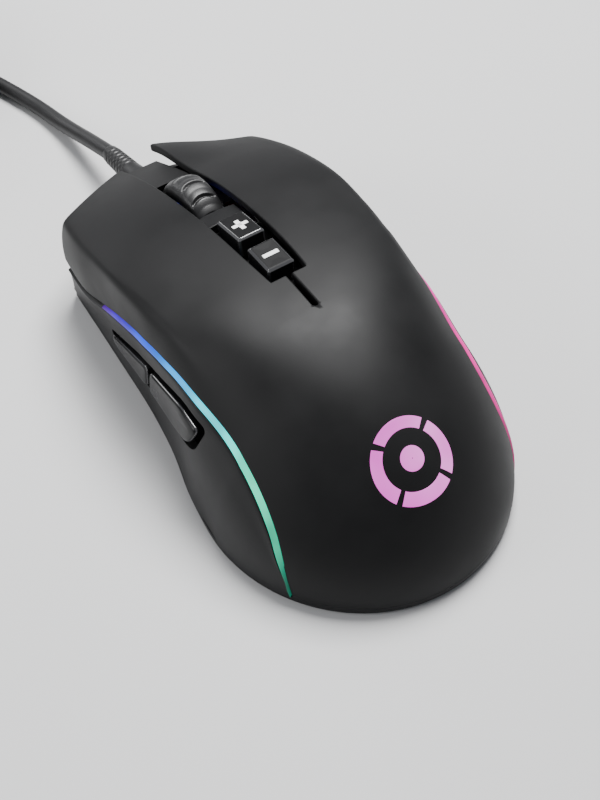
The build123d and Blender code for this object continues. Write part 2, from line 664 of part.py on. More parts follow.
def button_switch(side):
    """Main button switch: a case with a well for its plunger."""
    wide, long, high = SWITCH_SIZE
    x = side * SWITCH_X
    top = BOARD_TOP + high
    case = block(x - wide / 2, x + wide / 2, SWITCH_Y - long / 2, SWITCH_Y + long / 2, BOARD_TOP, top)
    well = block(x - 1.3, x + 1.3, SWITCH_Y - 1.5, SWITCH_Y + 1.5, top - 2.2, top + 1)
    return case - well


def switch_plunger(side):
    x = side * SWITCH_X
    bottom = BOARD_TOP + SWITCH_SIZE[2] - 0.9
    return block(x - 0.9, x + 0.9, SWITCH_Y - 1.0, SWITCH_Y + 1.0, bottom, PLUNGER_TOP)


def middle_switch():
    top = BOARD_TOP + MIDDLE_SWITCH_HEIGHT
    case = block(-3, 3, 28.0, 34.0, BOARD_TOP, top)
    return case - block(-1.5, 1.5, 29.5, 32.5, BOARD_TOP + 0.6, top + 1)


def middle_plunger():
    return block(-1.2, 1.2, 29.8, 32.2, BOARD_TOP + MIDDLE_SWITCH_HEIGHT - 0.5, MIDDLE_PLUNGER_TOP)


def sensor_chip():
    return block(-4.6, 4.6, SENSOR_Y - 6, SENSOR_Y + 6, 3.7, BOARD_BOTTOM)


def sensor_lens():
    lens = block(-4.8, 4.8, SENSOR_Y - 6.8, SENSOR_Y + 6.8, 1.2, 3.6)
    return lens - rod(0, SENSOR_Y, 0, 2.2, 3.0)


def cable_connector():
    body = block(-6, 6, 8.0, 13.0, BOARD_TOP, BOARD_TOP + 3.6)
    return body - block(-5, 5, 9.0, 14.0, BOARD_TOP + 1.0, BOARD_TOP + 2.8)


def emblem_light_guide():
    """Clear plate behind the emblem that spreads the light of its diode."""
    disc = emblem_plane() * Cylinder(10.5, 30)
    return layer(WALL + 0.3, WALL + 1.9, disc)


# ---- cable ---------------------------------------------------------------------------
def boot():
    """Tapered, ribbed strain relief."""
    start = Vector(*BOOT_START)
    end = Vector(*CORD_ROUTE[0])
    along = (end - start).normalized()
    length = (end - start).length
    with BuildSketch(Plane.XZ) as profile:
        with BuildLine():
            Polyline((0, 0), (3.2, 0), (3.2, 5.5), (2.35, length), (0, length), close=True)
        make_face()
        for i in range(5):
            with Locations((3.15 - 0.12 * i, 8.0 + 1.9 * i)):
                Rectangle(0.9, 0.8, mode=Mode.SUBTRACT)
    solid = revolve(profile.sketch, axis=Axis.Z)
    return Plane(origin=start, x_dir=(1, 0, 0), z_dir=along) * solid


def bend_radii(route):
    """The largest arc at each corner that leaves a tenth of each run straight."""
    points = [Vector(*p) for p in route]
    radii = []
    for before, corner, after in zip(points, points[1:], points[2:]):
        turn = math.radians((corner - before).get_angle(after - corner))
        shorter = min((corner - before).length, (after - corner).length)
        radii.append(0.45 * shorter / math.tan(turn / 2))
    return radii


def cord_tube(route):
    radii = bend_radii(route)
    path = FilletPolyline(*[Vector(*p) for p in route], radius=radii)
    wire = path.wire()
    section = Plane(origin=wire @ 0, z_dir=wire % 0) * Circle(CORD_RADIUS)
    tube = sweep(section, path=wire)
    expected = math.pi * CORD_RADIUS**2 * wire.length
    print("cord length", round(wire.length, 1), "volume ratio", round(tube.volume / expected, 4),
          "radii", [round(r, 1) for r in radii])
    return tube


def coil_ring():
    """The outer shape of the wound cable."""
    pitch = 2 * CORD_RADIUS
    outer = COIL_MIDDLE_RADIUS + COIL_TURNS_PER_LAYER * pitch / 2 + CORD_RADIUS
    inner = COIL_MIDDLE_RADIUS - COIL_TURNS_PER_LAYER * pitch / 2 - CORD_RADIUS
    height = COIL_LAYERS * pitch
    ring = Cylinder(outer, height) - Cylinder(inner, height + 1)
    ring = fillet(ring.edges().filter_by(GeomType.CIRCLE), 1.5)
    return Pos(COIL_CENTRE[0], COIL_CENTRE[1], height / 2 + 0.1) * ring


def plug_body():
    """Moulded grip of the plug with its own short boot."""
    with BuildSketch(Plane.XZ) as profile:
        with BuildLine():
            Polyline((0, 0), (2.3, 0), (3.3, 8), (0, 8), close=True)
        make_face()
    cone = revolve(profile.sketch, axis=Axis.Z)
    cone = Plane(origin=(PLUG_X, PLUG_Y, PLUG_Z), x_dir=(1, 0, 0), z_dir=(0, -1, 0)) * cone
    grip = block(PLUG_X - 7.8, PLUG_X + 7.8, PLUG_Y - 27.5, PLUG_Y - 8, 0, 8)
    grip = fillet(grip.edges().filter_by(Axis.Y), 2.2)
    return cone + grip


def plug_shell():
    front = PLUG_Y - 39.5
    rear = PLUG_Y - 27.5
    shell = block(PLUG_X - 6, PLUG_X + 6, front, rear, PLUG_Z - 2.25, PLUG_Z + 2.25)
    shell -= block(PLUG_X - 5.6, PLUG_X + 5.6, front - 1, rear - 0.5, PLUG_Z - 1.85, PLUG_Z + 1.85)
    for x in (-2.6, 2.6):
        shell -= block(PLUG_X + x - 1.2, PLUG_X + x + 1.2, front + 5.2, front + 7.6, PLUG_Z, PLUG_Z + 4)
    return shell


def plug_tongue():
    return block(PLUG_X - 5.55, PLUG_X + 5.55, PLUG_Y - 39.0, PLUG_Y - 28.0, PLUG_Z - 1.85, PLUG_Z)


# ---- the parts -----------------------------------------------------------------------
def save(name, shape):
    os.makedirs("parts", exist_ok=True)
    if not isinstance(shape, Compound):
        shape = Compound(children=shape.solids())
    export_step(shape, f"parts/{name}.step")


def main():
    save("palm_cover", palm_cover())
    save("emblem_lens", emblem_lens())
    save("emblem_light_guide", emblem_light_guide())
    for side, word in ((-1, "left"), (1, "right")):
        save(f"{word}_button", main_button(side))
        save(f"{word}_light_strip", light_strip(side))
        save(f"{word}_side_panel", side_panel(side))
        save(f"{word}_switch", button_switch(side))
        save(f"{word}_plunger", switch_plunger(side))
        save(f"{word}_wheel_glow_ring", wheel_glow_ring(side))
    save("thumb_bezel", thumb_bezel())
    save("forward_thumb_button", thumb_button(FRONT_THUMB, THUMB_STEMS[0]))
    save("back_thumb_button", thumb_button(BACK_THUMB, THUMB_STEMS[1]))
    save("forward_thumb_switch", side_switch(THUMB_STEMS[0]))
    save("back_thumb_switch", side_switch(THUMB_STEMS[1]))
    save("side_board", side_board())
    save("nose_frame", nose_frame())
    save("bridge_plate", bridge_plate())
    save("key_frame", key_frame())
    save("key_board", key_board())
    save("key_board_legs", key_board_posts())
    for name, span in (("plus", PLUS_KEY_Y), ("minus", MINUS_KEY_Y)):
        save(f"{name}_key", keycap(name, span))
        save(f"{name}_key_mark", key_mark(name, span))
        save(f"{name}_key_switch", key_switch(span))
    save("wheel_tyre", wheel_tyre())
    save("wheel_hub", wheel_hub())
    save("wheel_axle", wheel_axle())
    save("wheel_carrier", wheel_carrier())
    save("wheel_encoder", wheel_encoder())
    save("wheel_springs", carrier_springs())
    save("middle_switch", middle_switch())
    save("middle_plunger", middle_plunger())
    save("base_plate", base_plate())
    save("front_glide", glide(45.0, 32, 7))
    save("rear_glide", glide(-50.0, 30, 8))
    save("sensor_glide", sensor_glide())
    save("main_board", main_board())
    save("board_screws", board_screws())
    save("cover_screws", cover_screws())
    save("sensor_chip", sensor_chip())
    save("sensor_lens", sensor_lens())
    save("cable_connector", cable_connector())
    save("strain_relief", boot())
    save("cord", cord_tube(CORD_ROUTE))
    save("cord_coil", coil_ring())
    save("cord_tail", cord_tube(TAIL_ROUTE))
    save("plug_body", plug_body())
    save("plug_shell", plug_shell())
    save("plug_tongue", plug_tongue())


main()
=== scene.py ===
import math

import bmesh
import bpy
from mathutils import Matrix, Vector


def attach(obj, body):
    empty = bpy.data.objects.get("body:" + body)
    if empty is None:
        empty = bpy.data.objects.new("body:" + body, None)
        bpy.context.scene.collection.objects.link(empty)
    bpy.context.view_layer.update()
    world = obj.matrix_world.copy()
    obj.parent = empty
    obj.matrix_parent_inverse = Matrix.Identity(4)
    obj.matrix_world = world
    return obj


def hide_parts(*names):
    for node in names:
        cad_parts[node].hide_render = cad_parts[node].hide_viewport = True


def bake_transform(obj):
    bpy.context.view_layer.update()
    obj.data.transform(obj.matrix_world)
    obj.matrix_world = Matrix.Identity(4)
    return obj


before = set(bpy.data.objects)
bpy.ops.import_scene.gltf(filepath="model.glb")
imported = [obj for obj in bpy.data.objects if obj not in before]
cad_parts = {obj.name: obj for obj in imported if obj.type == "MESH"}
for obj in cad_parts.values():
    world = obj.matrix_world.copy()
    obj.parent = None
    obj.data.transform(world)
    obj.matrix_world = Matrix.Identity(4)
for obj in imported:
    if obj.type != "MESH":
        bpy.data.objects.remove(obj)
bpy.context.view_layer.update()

# Lengths below are in millimetres, as on a drawing, and MM turns them into metres.
MM = 0.001

# ---- driving dimensions: outer shape -------------------------------------------------
HALF_LENGTH = 62.2            # from the middle to the button tips, and to the heel
HUMP_HEIGHT = 40.5
HUMP_Y = -12.0
HUMP_TO_HEEL = 50.2
HEEL_POWER = 1.75
NOSE_DROP = 21.9
NOSE_RUN = 74.2
NOSE_POWER = 2.2
REAR_CENTRE_Y = -27.0
REAR_HALF_WIDTH = 34.0
REAR_RUN = 35.2
WALL = 1.9
SHELL_BOTTOM = 2.0
SIDE_LINE = [(-27, 34), (-15, 32.7), (-4, 30), (8, 28), (22, 26.9), (40, 25.8), (68, 24.2)]
CREASE_LINE = [(-27, 28.5), (-4, 27), (9, 27.8), (22, 28.5), (37, 27.7), (47, 26.1), (54, 24.3), (68, 22)]
SHOULDER = (0.565, 0.622)      # the crease is rounded between these two places on the section
CREASE_FALL = [(-27, 6), (-4, 4.6), (9, 3.6), (22, 2.4), (37, 2.1), (51, 1.8), (68, 1.2)]
CROWN_POWER = 2.6             # how late the top falls away towards the crease
SIDE_BULGE = [(-27, 15), (-2, 15), (8, 8), (14, 4), (22, 2.5), (30, 4), (37, 9), (47, 8), (68, 6)]
STRIP_LINE = [(-46.5, 1.5), (-45.2, 6.5), (-41.3, 13.7), (-36.9, 18.6), (-31.1, 22.9), (-24.7, 26.1),
              (-17.3, 28.5), (-9.3, 29.7), (-1.5, 29.6), (6, 28.0), (13.6, 25.2), (21, 21.9),
              (28.7, 17.7), (37, 13.6), (44, 11.2), (52, 10.0), (66, 9.5)]
BUTTON_LIFT = [(-16, 0), (5, 0.4), (29, 0.95), (50, 1.9), (66, 1.9)]
STRIP_REAR_Y = -46.0
STRIP_FRONT_Y = 29.0
STRIP_WIDTH = 1.15
LEDGE = 0.25                  # the side's upper edge stands this far out below the strip
CORNER_X = 25.3               # the buttons' outer front corners
CORNER_Y = 50.6
TIP_X = 4.4                   # the buttons' inner front tips
RIGHT_TIP_REACH = 1.6         # the right button's tip stands further out and up than the left one's
RIGHT_TIP_RISE = 2.4

# ---- driving dimensions: slot, keys and wheel ----------------------------------------
SLOT_HALF = [(-2.5, 4.2), (9, 4.9), (30, 5.2), (44, 4.9), (68, 4.4)]
SLOT_REAR_Y = -1.6
SLIT_END_Y = -12.0
SLIT_HALF = 0.65
BLEND_REAR_Y = -16.0          # the palm is cut from the two buttons at this line
WHEEL_Y = 35.0
WHEEL_Z = 23.2
WHEEL_RADIUS = 10.4
WHEEL_HALF_WIDTH = 3.8
TYRE_GROOVES = 14
BRIDGE_REAR_Y = 22.6
BRIDGE_FRONT_Y = 27.2
KEY_HALF_WIDTH = 3.2
PLUS_KEY_Y = (12.2, 21.6)
MINUS_KEY_Y = (0.9, 9.3)
KEY_PROUDS = {"plus": (0.65, 0.2), "minus": (0.3, 0.6)}

# ---- driving dimensions: thumb buttons -----------------------------------------------
FRONT_THUMB = [(25.8, 11.4), (7.0, 20.2), (8.6, 12.0), (24.2, 9.2)]
BACK_THUMB = [(5.6, 20.6), (-8.5, 24.7), (-15.4, 24.2), (-13.8, 19.4), (-4.0, 14.6), (7.4, 11.9)]
THUMB_WINDOW = [(27.4, 11.8), (6.2, 21.9), (-8.6, 26.2), (-17.0, 25.6), (-15.4, 18.4), (-4.2, 13.1),
                (8.6, 10.4), (24.6, 7.8)]
EMBLEM_Y = -45.8

# ---- driving dimensions: cable -------------------------------------------------------
CORD_RADIUS = 1.9
CORD_PITCH = 3.8
BOOT_START = (0.0, 58.6, 14.2)
CORD_ROUTE = [(0.0, 76.0, 10.2), (-0.4, 83.5, 7.7), (-1.0, 91.5, 4.9), (-1.8, 99.3, 2.7), (-3.2, 107.2, 2.0),
              (-6.0, 115.8, 2.0), (-9.4, 124.8, 2.0)]
INTO_COIL = (-10.25, 131.2, 2.0)
COIL_CENTRE = (-38.0, 138.0)
COIL_OUTER = 27.7             # radius of the outermost turn's middle
COIL_TURNS = 3                # turns lying side by side in each layer
COIL_LAYERS = 4
COIL_POINTS = 16              # route points to a turn
TAIL_ROUTE = [(-65.7, 124.6, 12.9), (-65.4, 115.0, 9.6), (-64.2, 105.5, 5.9), (-62.8, 97.0, 4.1),
              (-62.0, 89.5, 4.0)]


# ---- curves of the outer shape -------------------------------------------------------
def value_at(line, y):
    """Smooth curve through the (y, value) points of a line."""
    if y <= line[0][0]:
        return line[0][1]
    if y >= line[-1][0]:
        return line[-1][1]
    last = len(line) - 1
    at = next(i for i in range(last) if line[i][0] <= y <= line[i + 1][0])
    slopes = []
    for i in (at, at + 1):
        before = line[max(i - 1, 0)]
        after = line[min(i + 1, last)]
        slopes.append((after[1] - before[1]) / (after[0] - before[0]))
    span = line[at + 1][0] - line[at][0]
    t = (y - line[at][0]) / span
    rise = line[at + 1][1] - line[at][1]
    bend = slopes[0] * span - rise
    settle = rise - slopes[1] * span
    return line[at][1] + t * rise + t * (1 - t) * ((1 - t) * bend + t * settle)


def ease(t):
    t = min(max(t, 0.0), 1.0)
    return t * t * (3 - 2 * t)


def lerp(a, b, t):
    return a + (b - a) * t


def top_line(y):
    """Height of the shell's middle line."""
    if y >= HUMP_Y:
        return HUMP_HEIGHT - NOSE_DROP * ((y - HUMP_Y) / NOSE_RUN) ** NOSE_POWER
    along = min((HUMP_Y - y) / HUMP_TO_HEEL, 1.0)
    arc = (1 - along**HEEL_POWER) ** (1 / HEEL_POWER)
    return SHELL_BOTTOM + (HUMP_HEIGHT - SHELL_BOTTOM) * arc


def half_width(y):
    """Half width of the shell at its lower edge."""
    if y >= REAR_CENTRE_Y:
        return value_at(SIDE_LINE, y)
    along = min((REAR_CENTRE_Y - y) / REAR_RUN, 1.0)
    return REAR_HALF_WIDTH * math.sqrt(1 - along**2)


def creased_section(y, t):
    """(x, z) on the front part's section: a flat crown, a sharp shoulder and a steep side."""
    crease_x = value_at(CREASE_LINE, y)
    top = top_line(y)
    crease_z = top - value_at(CREASE_FALL, y)
    if t < 0.6:
        across = t / 0.6
        return crease_x * across, top - (top - crease_z) * across**CROWN_POWER
    down = (t - 0.6) / 0.4
    bulge = value_at(SIDE_BULGE, y) * down * (1 - down) ** 2
    return lerp(crease_x, half_width(y), down) + bulge, lerp(crease_z, SHELL_BOTTOM, down)


def section_point(y, t):
    """(x, z) on the right half of the section at y: t is 0 at the top and 1 at the lower edge."""
    top = top_line(y)
    base_x = half_width(y)
    height = top - SHELL_BOTTOM
    power = min(1.8 + 1.7 * math.exp((y + 9.3) / 11), 6.0)
    angle = math.pi / 2 - math.pi / 4 * t / 0.6 if t < 0.6 else math.pi / 4 * (1 - t) / 0.4
    round_x = base_x * max(math.cos(angle), 0.0) ** (2 / power)
    round_z = SHELL_BOTTOM + height * max(math.sin(angle), 0.0) ** (2 / power)
    weight = ease((y + 16) / 26)
    above, below = SHOULDER
    if weight == 0 or not above < t < below:
        creased = creased_section(y, t)
    else:
        first, corner, last = (Vector(creased_section(y, at)) for at in (above, 0.6, below))
        share = (t - above) / (below - above)
        creased = first.lerp(corner, share).lerp(corner.lerp(last, share), share)
    return lerp(round_x, creased[0], weight), lerp(round_z, creased[1], weight)


def halve(test, low, high):
    """The value between low and high where the test stops being true."""
    for _ in range(22):
        middle = (low + high) / 2
        if test(middle):
            low = middle
        else:
            high = middle
    return (low + high) / 2


def t_at_x(y, x):
    return halve(lambda t: section_point(y, t)[0] < x, 0.0, 0.6)


def t_at_z(y, z):
    return halve(lambda t: section_point(y, t)[1] > z, 0.0, 1.0)


def skin(y, t, side=1, lift=0.0):
    """A point on the outer surface, or lifted off it along its normal."""
    x, z = section_point(y, t)
    point = Vector((side * x, y, z))
    if lift:
        point += skin_normal(y, t, side) * lift
    return point


def skin_normal(y, t, side):
    step = 0.05
    t0, t1 = max(t - 0.004, 0.0), min(t + 0.004, 1.0)
    along = skin(y + step, t, side) - skin(y - step, t, side)
    down = skin(y, t1, side) - skin(y, t0, side)
    normal = along.cross(down).normalized()
    return normal if normal.dot(Vector((side, 0, 0.6))) > 0 else -normal


def strip_top(y):
    return value_at(STRIP_LINE, y)


def strip_bottom(y):
    """Lower edge of the light strip, which tapers to a point at both ends."""
    taper = ease((y - STRIP_REAR_Y + 1.5) / 7) * ease((STRIP_FRONT_Y + 2 - y) / 16)
    slope = (strip_top(y + 0.2) - strip_top(y - 0.2)) / 0.4
    return strip_top(y) - STRIP_WIDTH * (0.2 + 0.8 * taper) * math.sqrt(1 + slope**2)


def cover_bottom(y):
    """Lower edge of the top cover. Its gap to the side opens towards the front."""
    if y > BLEND_REAR_Y:
        return strip_top(y) + value_at(BUTTON_LIFT, y)
    return max(strip_top(y), SHELL_BOTTOM)


def front_edge(x, setback=0.0):
    """Where the swept front edge lies at this distance from the middle."""
    tip = HALF_LENGTH - setback
    if x < TIP_X:
        return tip
    return tip - (x - TIP_X) * (HALF_LENGTH - CORNER_Y) / (CORNER_X - TIP_X)


# ---- mesh helpers --------------------------------------------------------------------
def new_piece(name, points, faces, material, body, smooth=True):
    mesh = bpy.data.meshes.new(name)
    mesh.from_pydata([Vector(p) * MM for p in points], [], faces)
    mesh.validate()
    if smooth:
        mesh.polygons.foreach_set("use_smooth", [True] * len(mesh.polygons))
    return place(name, mesh, material, body)


def place(name, mesh, material, body):
    piece = bpy.data.objects.new(name, mesh)
    bpy.context.scene.collection.objects.link(piece)
    mesh.materials.clear()
    mesh.materials.append(material)
    if body:
        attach(piece, body)
    return piece


def grid_faces(rows, columns, wrap=False, start=0):
    faces = []
    for i in range(rows - 1):
        for j in range(columns if wrap else columns - 1):
            a = start + i * columns + j
            b = start + i * columns + (j + 1) % columns
            faces.append((a, b, b + columns, a + columns))
    return faces


def bevel(piece, width, segments=2):
    """Rounds the open edges that rim() has marked."""
    modifier = piece.modifiers.new("edges", "BEVEL")
    modifier.width = width * MM
    modifier.segments = segments
    modifier.limit_method = "WEIGHT"
    modifier.harden_normals = True
    modifier.use_clamp_overlap = False


def rim(piece, wanted):
    """Marks the skin's open edges whose middle passes the test."""
    work = bmesh.new()
    work.from_mesh(piece.data)
    weight = work.edges.layers.float.new("bevel_weight_edge")
    for edge in work.edges:
        middle = (edge.verts[0].co + edge.verts[1].co) / 2 / MM
        if edge.is_boundary and wanted(middle):
            edge[weight] = 1.0
    work.to_mesh(piece.data)
    work.free()


def solidify(piece, thickness):
    modifier = piece.modifiers.new("wall", "SOLIDIFY")
    modifier.thickness = thickness * MM
    modifier.offset = -1


def baked(piece):
    """The piece's mesh with its modifiers applied."""
    bpy.context.view_layer.update()
    graph = bpy.context.evaluated_depsgraph_get()
    return bpy.data.meshes.new_from_object(piece.evaluated_get(graph))


def part_of_mesh(name, mesh, keep):
    """A new mesh of the faces whose middle passes the test, with their shading kept."""
    numbers = {}
    points = []
    faces = []
    normals = []
    for polygon in mesh.polygons:
        if not keep(polygon.center / MM):
            continue
        face = []
        for corner in polygon.loop_indices:
            vertex = mesh.loops[corner].vertex_index
            if vertex not in numbers:
                numbers[vertex] = len(points)
                points.append(mesh.vertices[vertex].co.copy())
            face.append(numbers[vertex])
            normals.append(mesh.corner_normals[corner].vector.copy())
        faces.append(face)
    made = bpy.data.meshes.new(name)
    made.from_pydata(points, [], faces)
    made.polygons.foreach_set("use_smooth", [True] * len(made.polygons))
    made.normals_split_custom_set(normals)
    return made


# ---- materials -----------------------------------------------------------------------
def new_material(name):
    material = bpy.data.materials.new(name)
    material.use_nodes = True
    nodes = material.node_tree.nodes
    return material, nodes, material.node_tree.links, nodes["Principled BSDF"]


def add_noise(nodes, links, coordinates, scale, detail=3.0, stretch=None):
    noise = nodes.new("ShaderNodeTexNoise")
    noise.inputs["Scale"].default_value = scale
    noise.inputs["Detail"].default_value = detail
    if stretch:
        mapping = nodes.new("ShaderNodeMapping")
        mapping.inputs["Scale"].default_value = stretch
        links.new(coordinates, mapping.inputs["Vector"])
        coordinates = mapping.outputs["Vector"]
    links.new(coordinates, noise.inputs["Vector"])
    return noise.outputs["Fac"]


def ramp(nodes, links, value, low, high, from_low=0.35, from_high=0.65):
    """The value stretched from one range to another."""
    node = nodes.new("ShaderNodeMapRange")
    node.inputs["From Min"].default_value = from_low
    node.inputs["From Max"].default_value = from_high
    node.inputs["To Min"].default_value = low
    node.inputs["To Max"].default_value = high
    links.new(value, node.inputs["Value"])
    return node.outputs["Result"]


def two_colours(nodes, links, value, first, second):
    mix = nodes.new("ShaderNodeMix")
    mix.data_type = "RGBA"
    mix.inputs["A"].default_value = (*first, 1)
    mix.inputs["B"].default_value = (*second, 1)
    links.new(value, mix.inputs["Factor"])
    return mix.outputs["Result"]


def plastic(name, dark, light, rough, grain, bump, edge=0.0, coat=0.0, specular=0.5, tint=None):
    """Moulded plastic or rubber: mottled colour and sheen, a fine grain, and a painted highlight that
    lightens the colour along sharp edges.
    """
    material, nodes, links, shader = new_material(name)
    where = nodes.new("ShaderNodeTexCoord").outputs["Object"]
    broad = add_noise(nodes, links, where, 60, 4)
    fine = add_noise(nodes, links, where, grain, 3)
    colour = two_colours(nodes, links, ramp(nodes, links, broad, 0, 1), dark, light)
    if edge:
        # Painted highlight: the colour is lightened where the surface bends sharply, standing in for light
        # catching the edges.
        bent = nodes.new("ShaderNodeNewGeometry").outputs["Pointiness"]
        painted_edge_highlight = ramp(nodes, links, bent, 0, edge, 0.51, 0.58)
        mix = nodes.new("ShaderNodeMix")
        mix.data_type = "RGBA"
        highlight_colour = tint or [min(1.0, c * 4 + 0.03) for c in light]
        mix.inputs["B"].default_value = (*highlight_colour, 1)
        links.new(painted_edge_highlight, mix.inputs["Factor"])
        links.new(colour, mix.inputs["A"])
        colour = mix.outputs["Result"]
    links.new(colour, shader.inputs["Base Color"])
    links.new(ramp(nodes, links, broad, rough - 0.05, rough + 0.05), shader.inputs["Roughness"])
    raised = nodes.new("ShaderNodeBump")
    raised.inputs["Strength"].default_value = bump
    raised.inputs["Distance"].default_value = 0.05 * MM
    links.new(fine, raised.inputs["Height"])
    links.new(raised.outputs["Normal"], shader.inputs["Normal"])
    shader.inputs["Specular IOR Level"].default_value = specular
    shader.inputs["Coat Weight"].default_value = coat
    shader.inputs["Coat Roughness"].default_value = 0.12
    return material


def metal(name, colour, rough, stretch):
    """Drawn or plated metal with fine marks along one direction."""
    material, nodes, links, shader = new_material(name)
    where = nodes.new("ShaderNodeTexCoord").outputs["Object"]
    lines = add_noise(nodes, links, where, 900, 3, stretch)
    dull = [c * 0.7 for c in colour]
    drawn = two_colours(nodes, links, ramp(nodes, links, lines, 0, 1), dull, colour)
    links.new(drawn, shader.inputs["Base Color"])
    links.new(ramp(nodes, links, lines, rough - 0.06, rough + 0.08), shader.inputs["Roughness"])
    shader.inputs["Metallic"].default_value = 1.0
    raised = nodes.new("ShaderNodeBump")
    raised.inputs["Strength"].default_value = 0.15
    raised.inputs["Distance"].default_value = 0.02 * MM
    links.new(lines, raised.inputs["Height"])
    links.new(raised.outputs["Normal"], shader.inputs["Normal"])
    return material


def lit_along_y(name, stops, strength, y_range):
    """Translucent plastic lit from behind, its colour changing along the mouse."""
    material, nodes, links, shader = new_material(name)
    where = nodes.new("ShaderNodeTexCoord").outputs["Object"]
    split = nodes.new("ShaderNodeSeparateXYZ")
    links.new(where, split.inputs["Vector"])
    along = ramp(nodes, links, split.outputs["Y"], 0, 1, y_range[0] * MM, y_range[1] * MM)
    colours = nodes.new("ShaderNodeValToRGB")
    colours.color_ramp.interpolation = "EASE"
    elements = colours.color_ramp.elements
    elements[0].position, elements[0].color = stops[0][0], (*stops[0][1], 1)
    elements[1].position, elements[1].color = stops[-1][0], (*stops[-1][1], 1)
    for position, colour in stops[1:-1]:
        elements.new(position).color = (*colour, 1)
    links.new(along, colours.inputs["Fac"])
    uneven = ramp(nodes, links, add_noise(nodes, links, where, 140, 2), strength * 0.8, strength * 1.15)
    shader.inputs["Base Color"].default_value = (0.02, 0.02, 0.02, 1)
    links.new(colours.outputs["Color"], shader.inputs["Emission Color"])
    links.new(uneven, shader.inputs["Emission Strength"])
    shader.inputs["Roughness"].default_value = 0.3
    shader.inputs["Specular IOR Level"].default_value = 0.1
    return material


def lit_plain(name, deep, pale, strength, scale):
    """Translucent plastic lit from behind in one hue, paler in patches."""
    material, nodes, links, shader = new_material(name)
    where = nodes.new("ShaderNodeTexCoord").outputs["Object"]
    patches = ramp(nodes, links, add_noise(nodes, links, where, scale, 2), 0, 1, 0.3, 0.7)
    colour = two_colours(nodes, links, patches, deep, pale)
    shader.inputs["Base Color"].default_value = (0.02, 0.02, 0.02, 1)
    links.new(colour, shader.inputs["Emission Color"])
    shader.inputs["Emission Strength"].default_value = strength
    shader.inputs["Roughness"].default_value = 0.3
    shader.inputs["Specular IOR Level"].default_value = 0.1
    return material


SOFT_TOUCH = plastic("soft_touch_cover", (0.004, 0.004, 0.0042), (0.0062, 0.0062, 0.0065), 0.52, 5200, 0.2,
                     specular=0.19)
SIDE_BLACK = plastic("textured_side", (0.0035, 0.0035, 0.0038), (0.0055, 0.0055, 0.006), 0.45, 3000, 0.4,
                     specular=0.25)
GLOSS_BLACK = plastic("gloss_button", (0.003, 0.003, 0.0033), (0.005, 0.005, 0.0055), 0.3, 2500, 0.06,
                      coat=0.08, specular=0.16)
KEY_BLACK = plastic("satin_key", (0.0035, 0.0035, 0.0038), (0.0055, 0.0055, 0.006), 0.52, 4200, 0.15,
                    specular=0.14)
# Polished chamfer material: the glossy coat is real, and its colour is lighter than the key's as a painted
# highlight.
KEY_EDGE_PAINTED_HIGHLIGHT = plastic("polished_key_edge_painted_highlight", (0.03, 0.03, 0.032), (0.045, 0.045, 0.047), 0.2, 2600, 0.05,
                   coat=0.6)
INNER_BLACK = plastic("inner_frame", (0.003, 0.003, 0.003), (0.006, 0.006, 0.006), 0.6, 2600, 0.4,
                      specular=0.2)
TYRE_RUBBER = plastic("tyre_rubber", (0.006, 0.006, 0.0062), (0.01, 0.01, 0.0105), 0.4, 3600, 0.3,
                      specular=0.4)
CORD_RUBBER = plastic("cord_jacket", (0.007, 0.007, 0.0072), (0.012, 0.012, 0.0125), 0.42, 2400, 0.3,
                      specular=0.35)
MARK_WHITE = plastic("printed_white", (0.8, 0.8, 0.79), (0.88, 0.88, 0.87), 0.45, 3000, 0.1)
BOARD_GREEN = plastic("circuit_board", (0.006, 0.06, 0.03), (0.01, 0.09, 0.045), 0.3, 900, 0.3)
SWITCH_WHITE = plastic("switch_case", (0.1, 0.1, 0.097), (0.15, 0.15, 0.145), 0.42, 2600, 0.15)
PLUNGER_RED = plastic("switch_plunger", (0.05, 0.004, 0.003), (0.08, 0.006, 0.005), 0.5, 2600, 0.1,
                      specular=0.2)
GLIDE_BLACK = plastic("slick_glide", (0.018, 0.018, 0.02), (0.028, 0.028, 0.03), 0.25, 1800, 0.15)
CLEAR_GUIDE = plastic("clear_guide", (0.55, 0.55, 0.57), (0.7, 0.7, 0.72), 0.12, 900, 0.05, coat=0.5)
SCREW_STEEL = metal("plated_screw", (0.55, 0.55, 0.56), 0.3, (1, 1, 0.1))
AXLE_STEEL = metal("drawn_axle", (0.6, 0.6, 0.62), 0.28, (0.1, 1, 1))
PLUG_METAL = metal("plated_shell", (0.72, 0.72, 0.74), 0.36, (1, 0.08, 1))
LEFT_LIGHT = lit_along_y(
    "left_strip_light",
    [(0.0, (0.0, 0.1, 0.06)), (0.08, (0.0, 0.45, 0.25)), (0.2, (0.02, 1.0, 0.6)), (0.4, (0.02, 0.9, 1.0)),
     (0.55, (0.0, 0.4, 1.0)), (0.72, (0.0, 0.08, 0.95)), (0.88, (0.04, 0.0, 0.6)), (1.0, (0.06, 0.0, 0.25))],
    1.5, (STRIP_REAR_Y, STRIP_FRONT_Y))
RIGHT_LIGHT = lit_along_y(
    "right_strip_light",
    [(0.0, (0.3, 0.0, 0.1)), (0.2, (0.9, 0.0, 0.35)), (0.5, (1.0, 0.0, 0.45)), (0.75, (0.8, 0.0, 0.6)),
     (1.0, (0.4, 0.0, 0.6))],
    1.5, (STRIP_REAR_Y, STRIP_FRONT_Y))
EMBLEM_LIGHT = lit_plain("emblem_light", (0.7, 0.03, 0.55), (1.0, 0.28, 0.85), 1.7, 60)
GLOW_BLUE = lit_plain("wheel_glow", (0.0, 0.005, 0.55), (0.01, 0.03, 1.0), 0.8, 200)


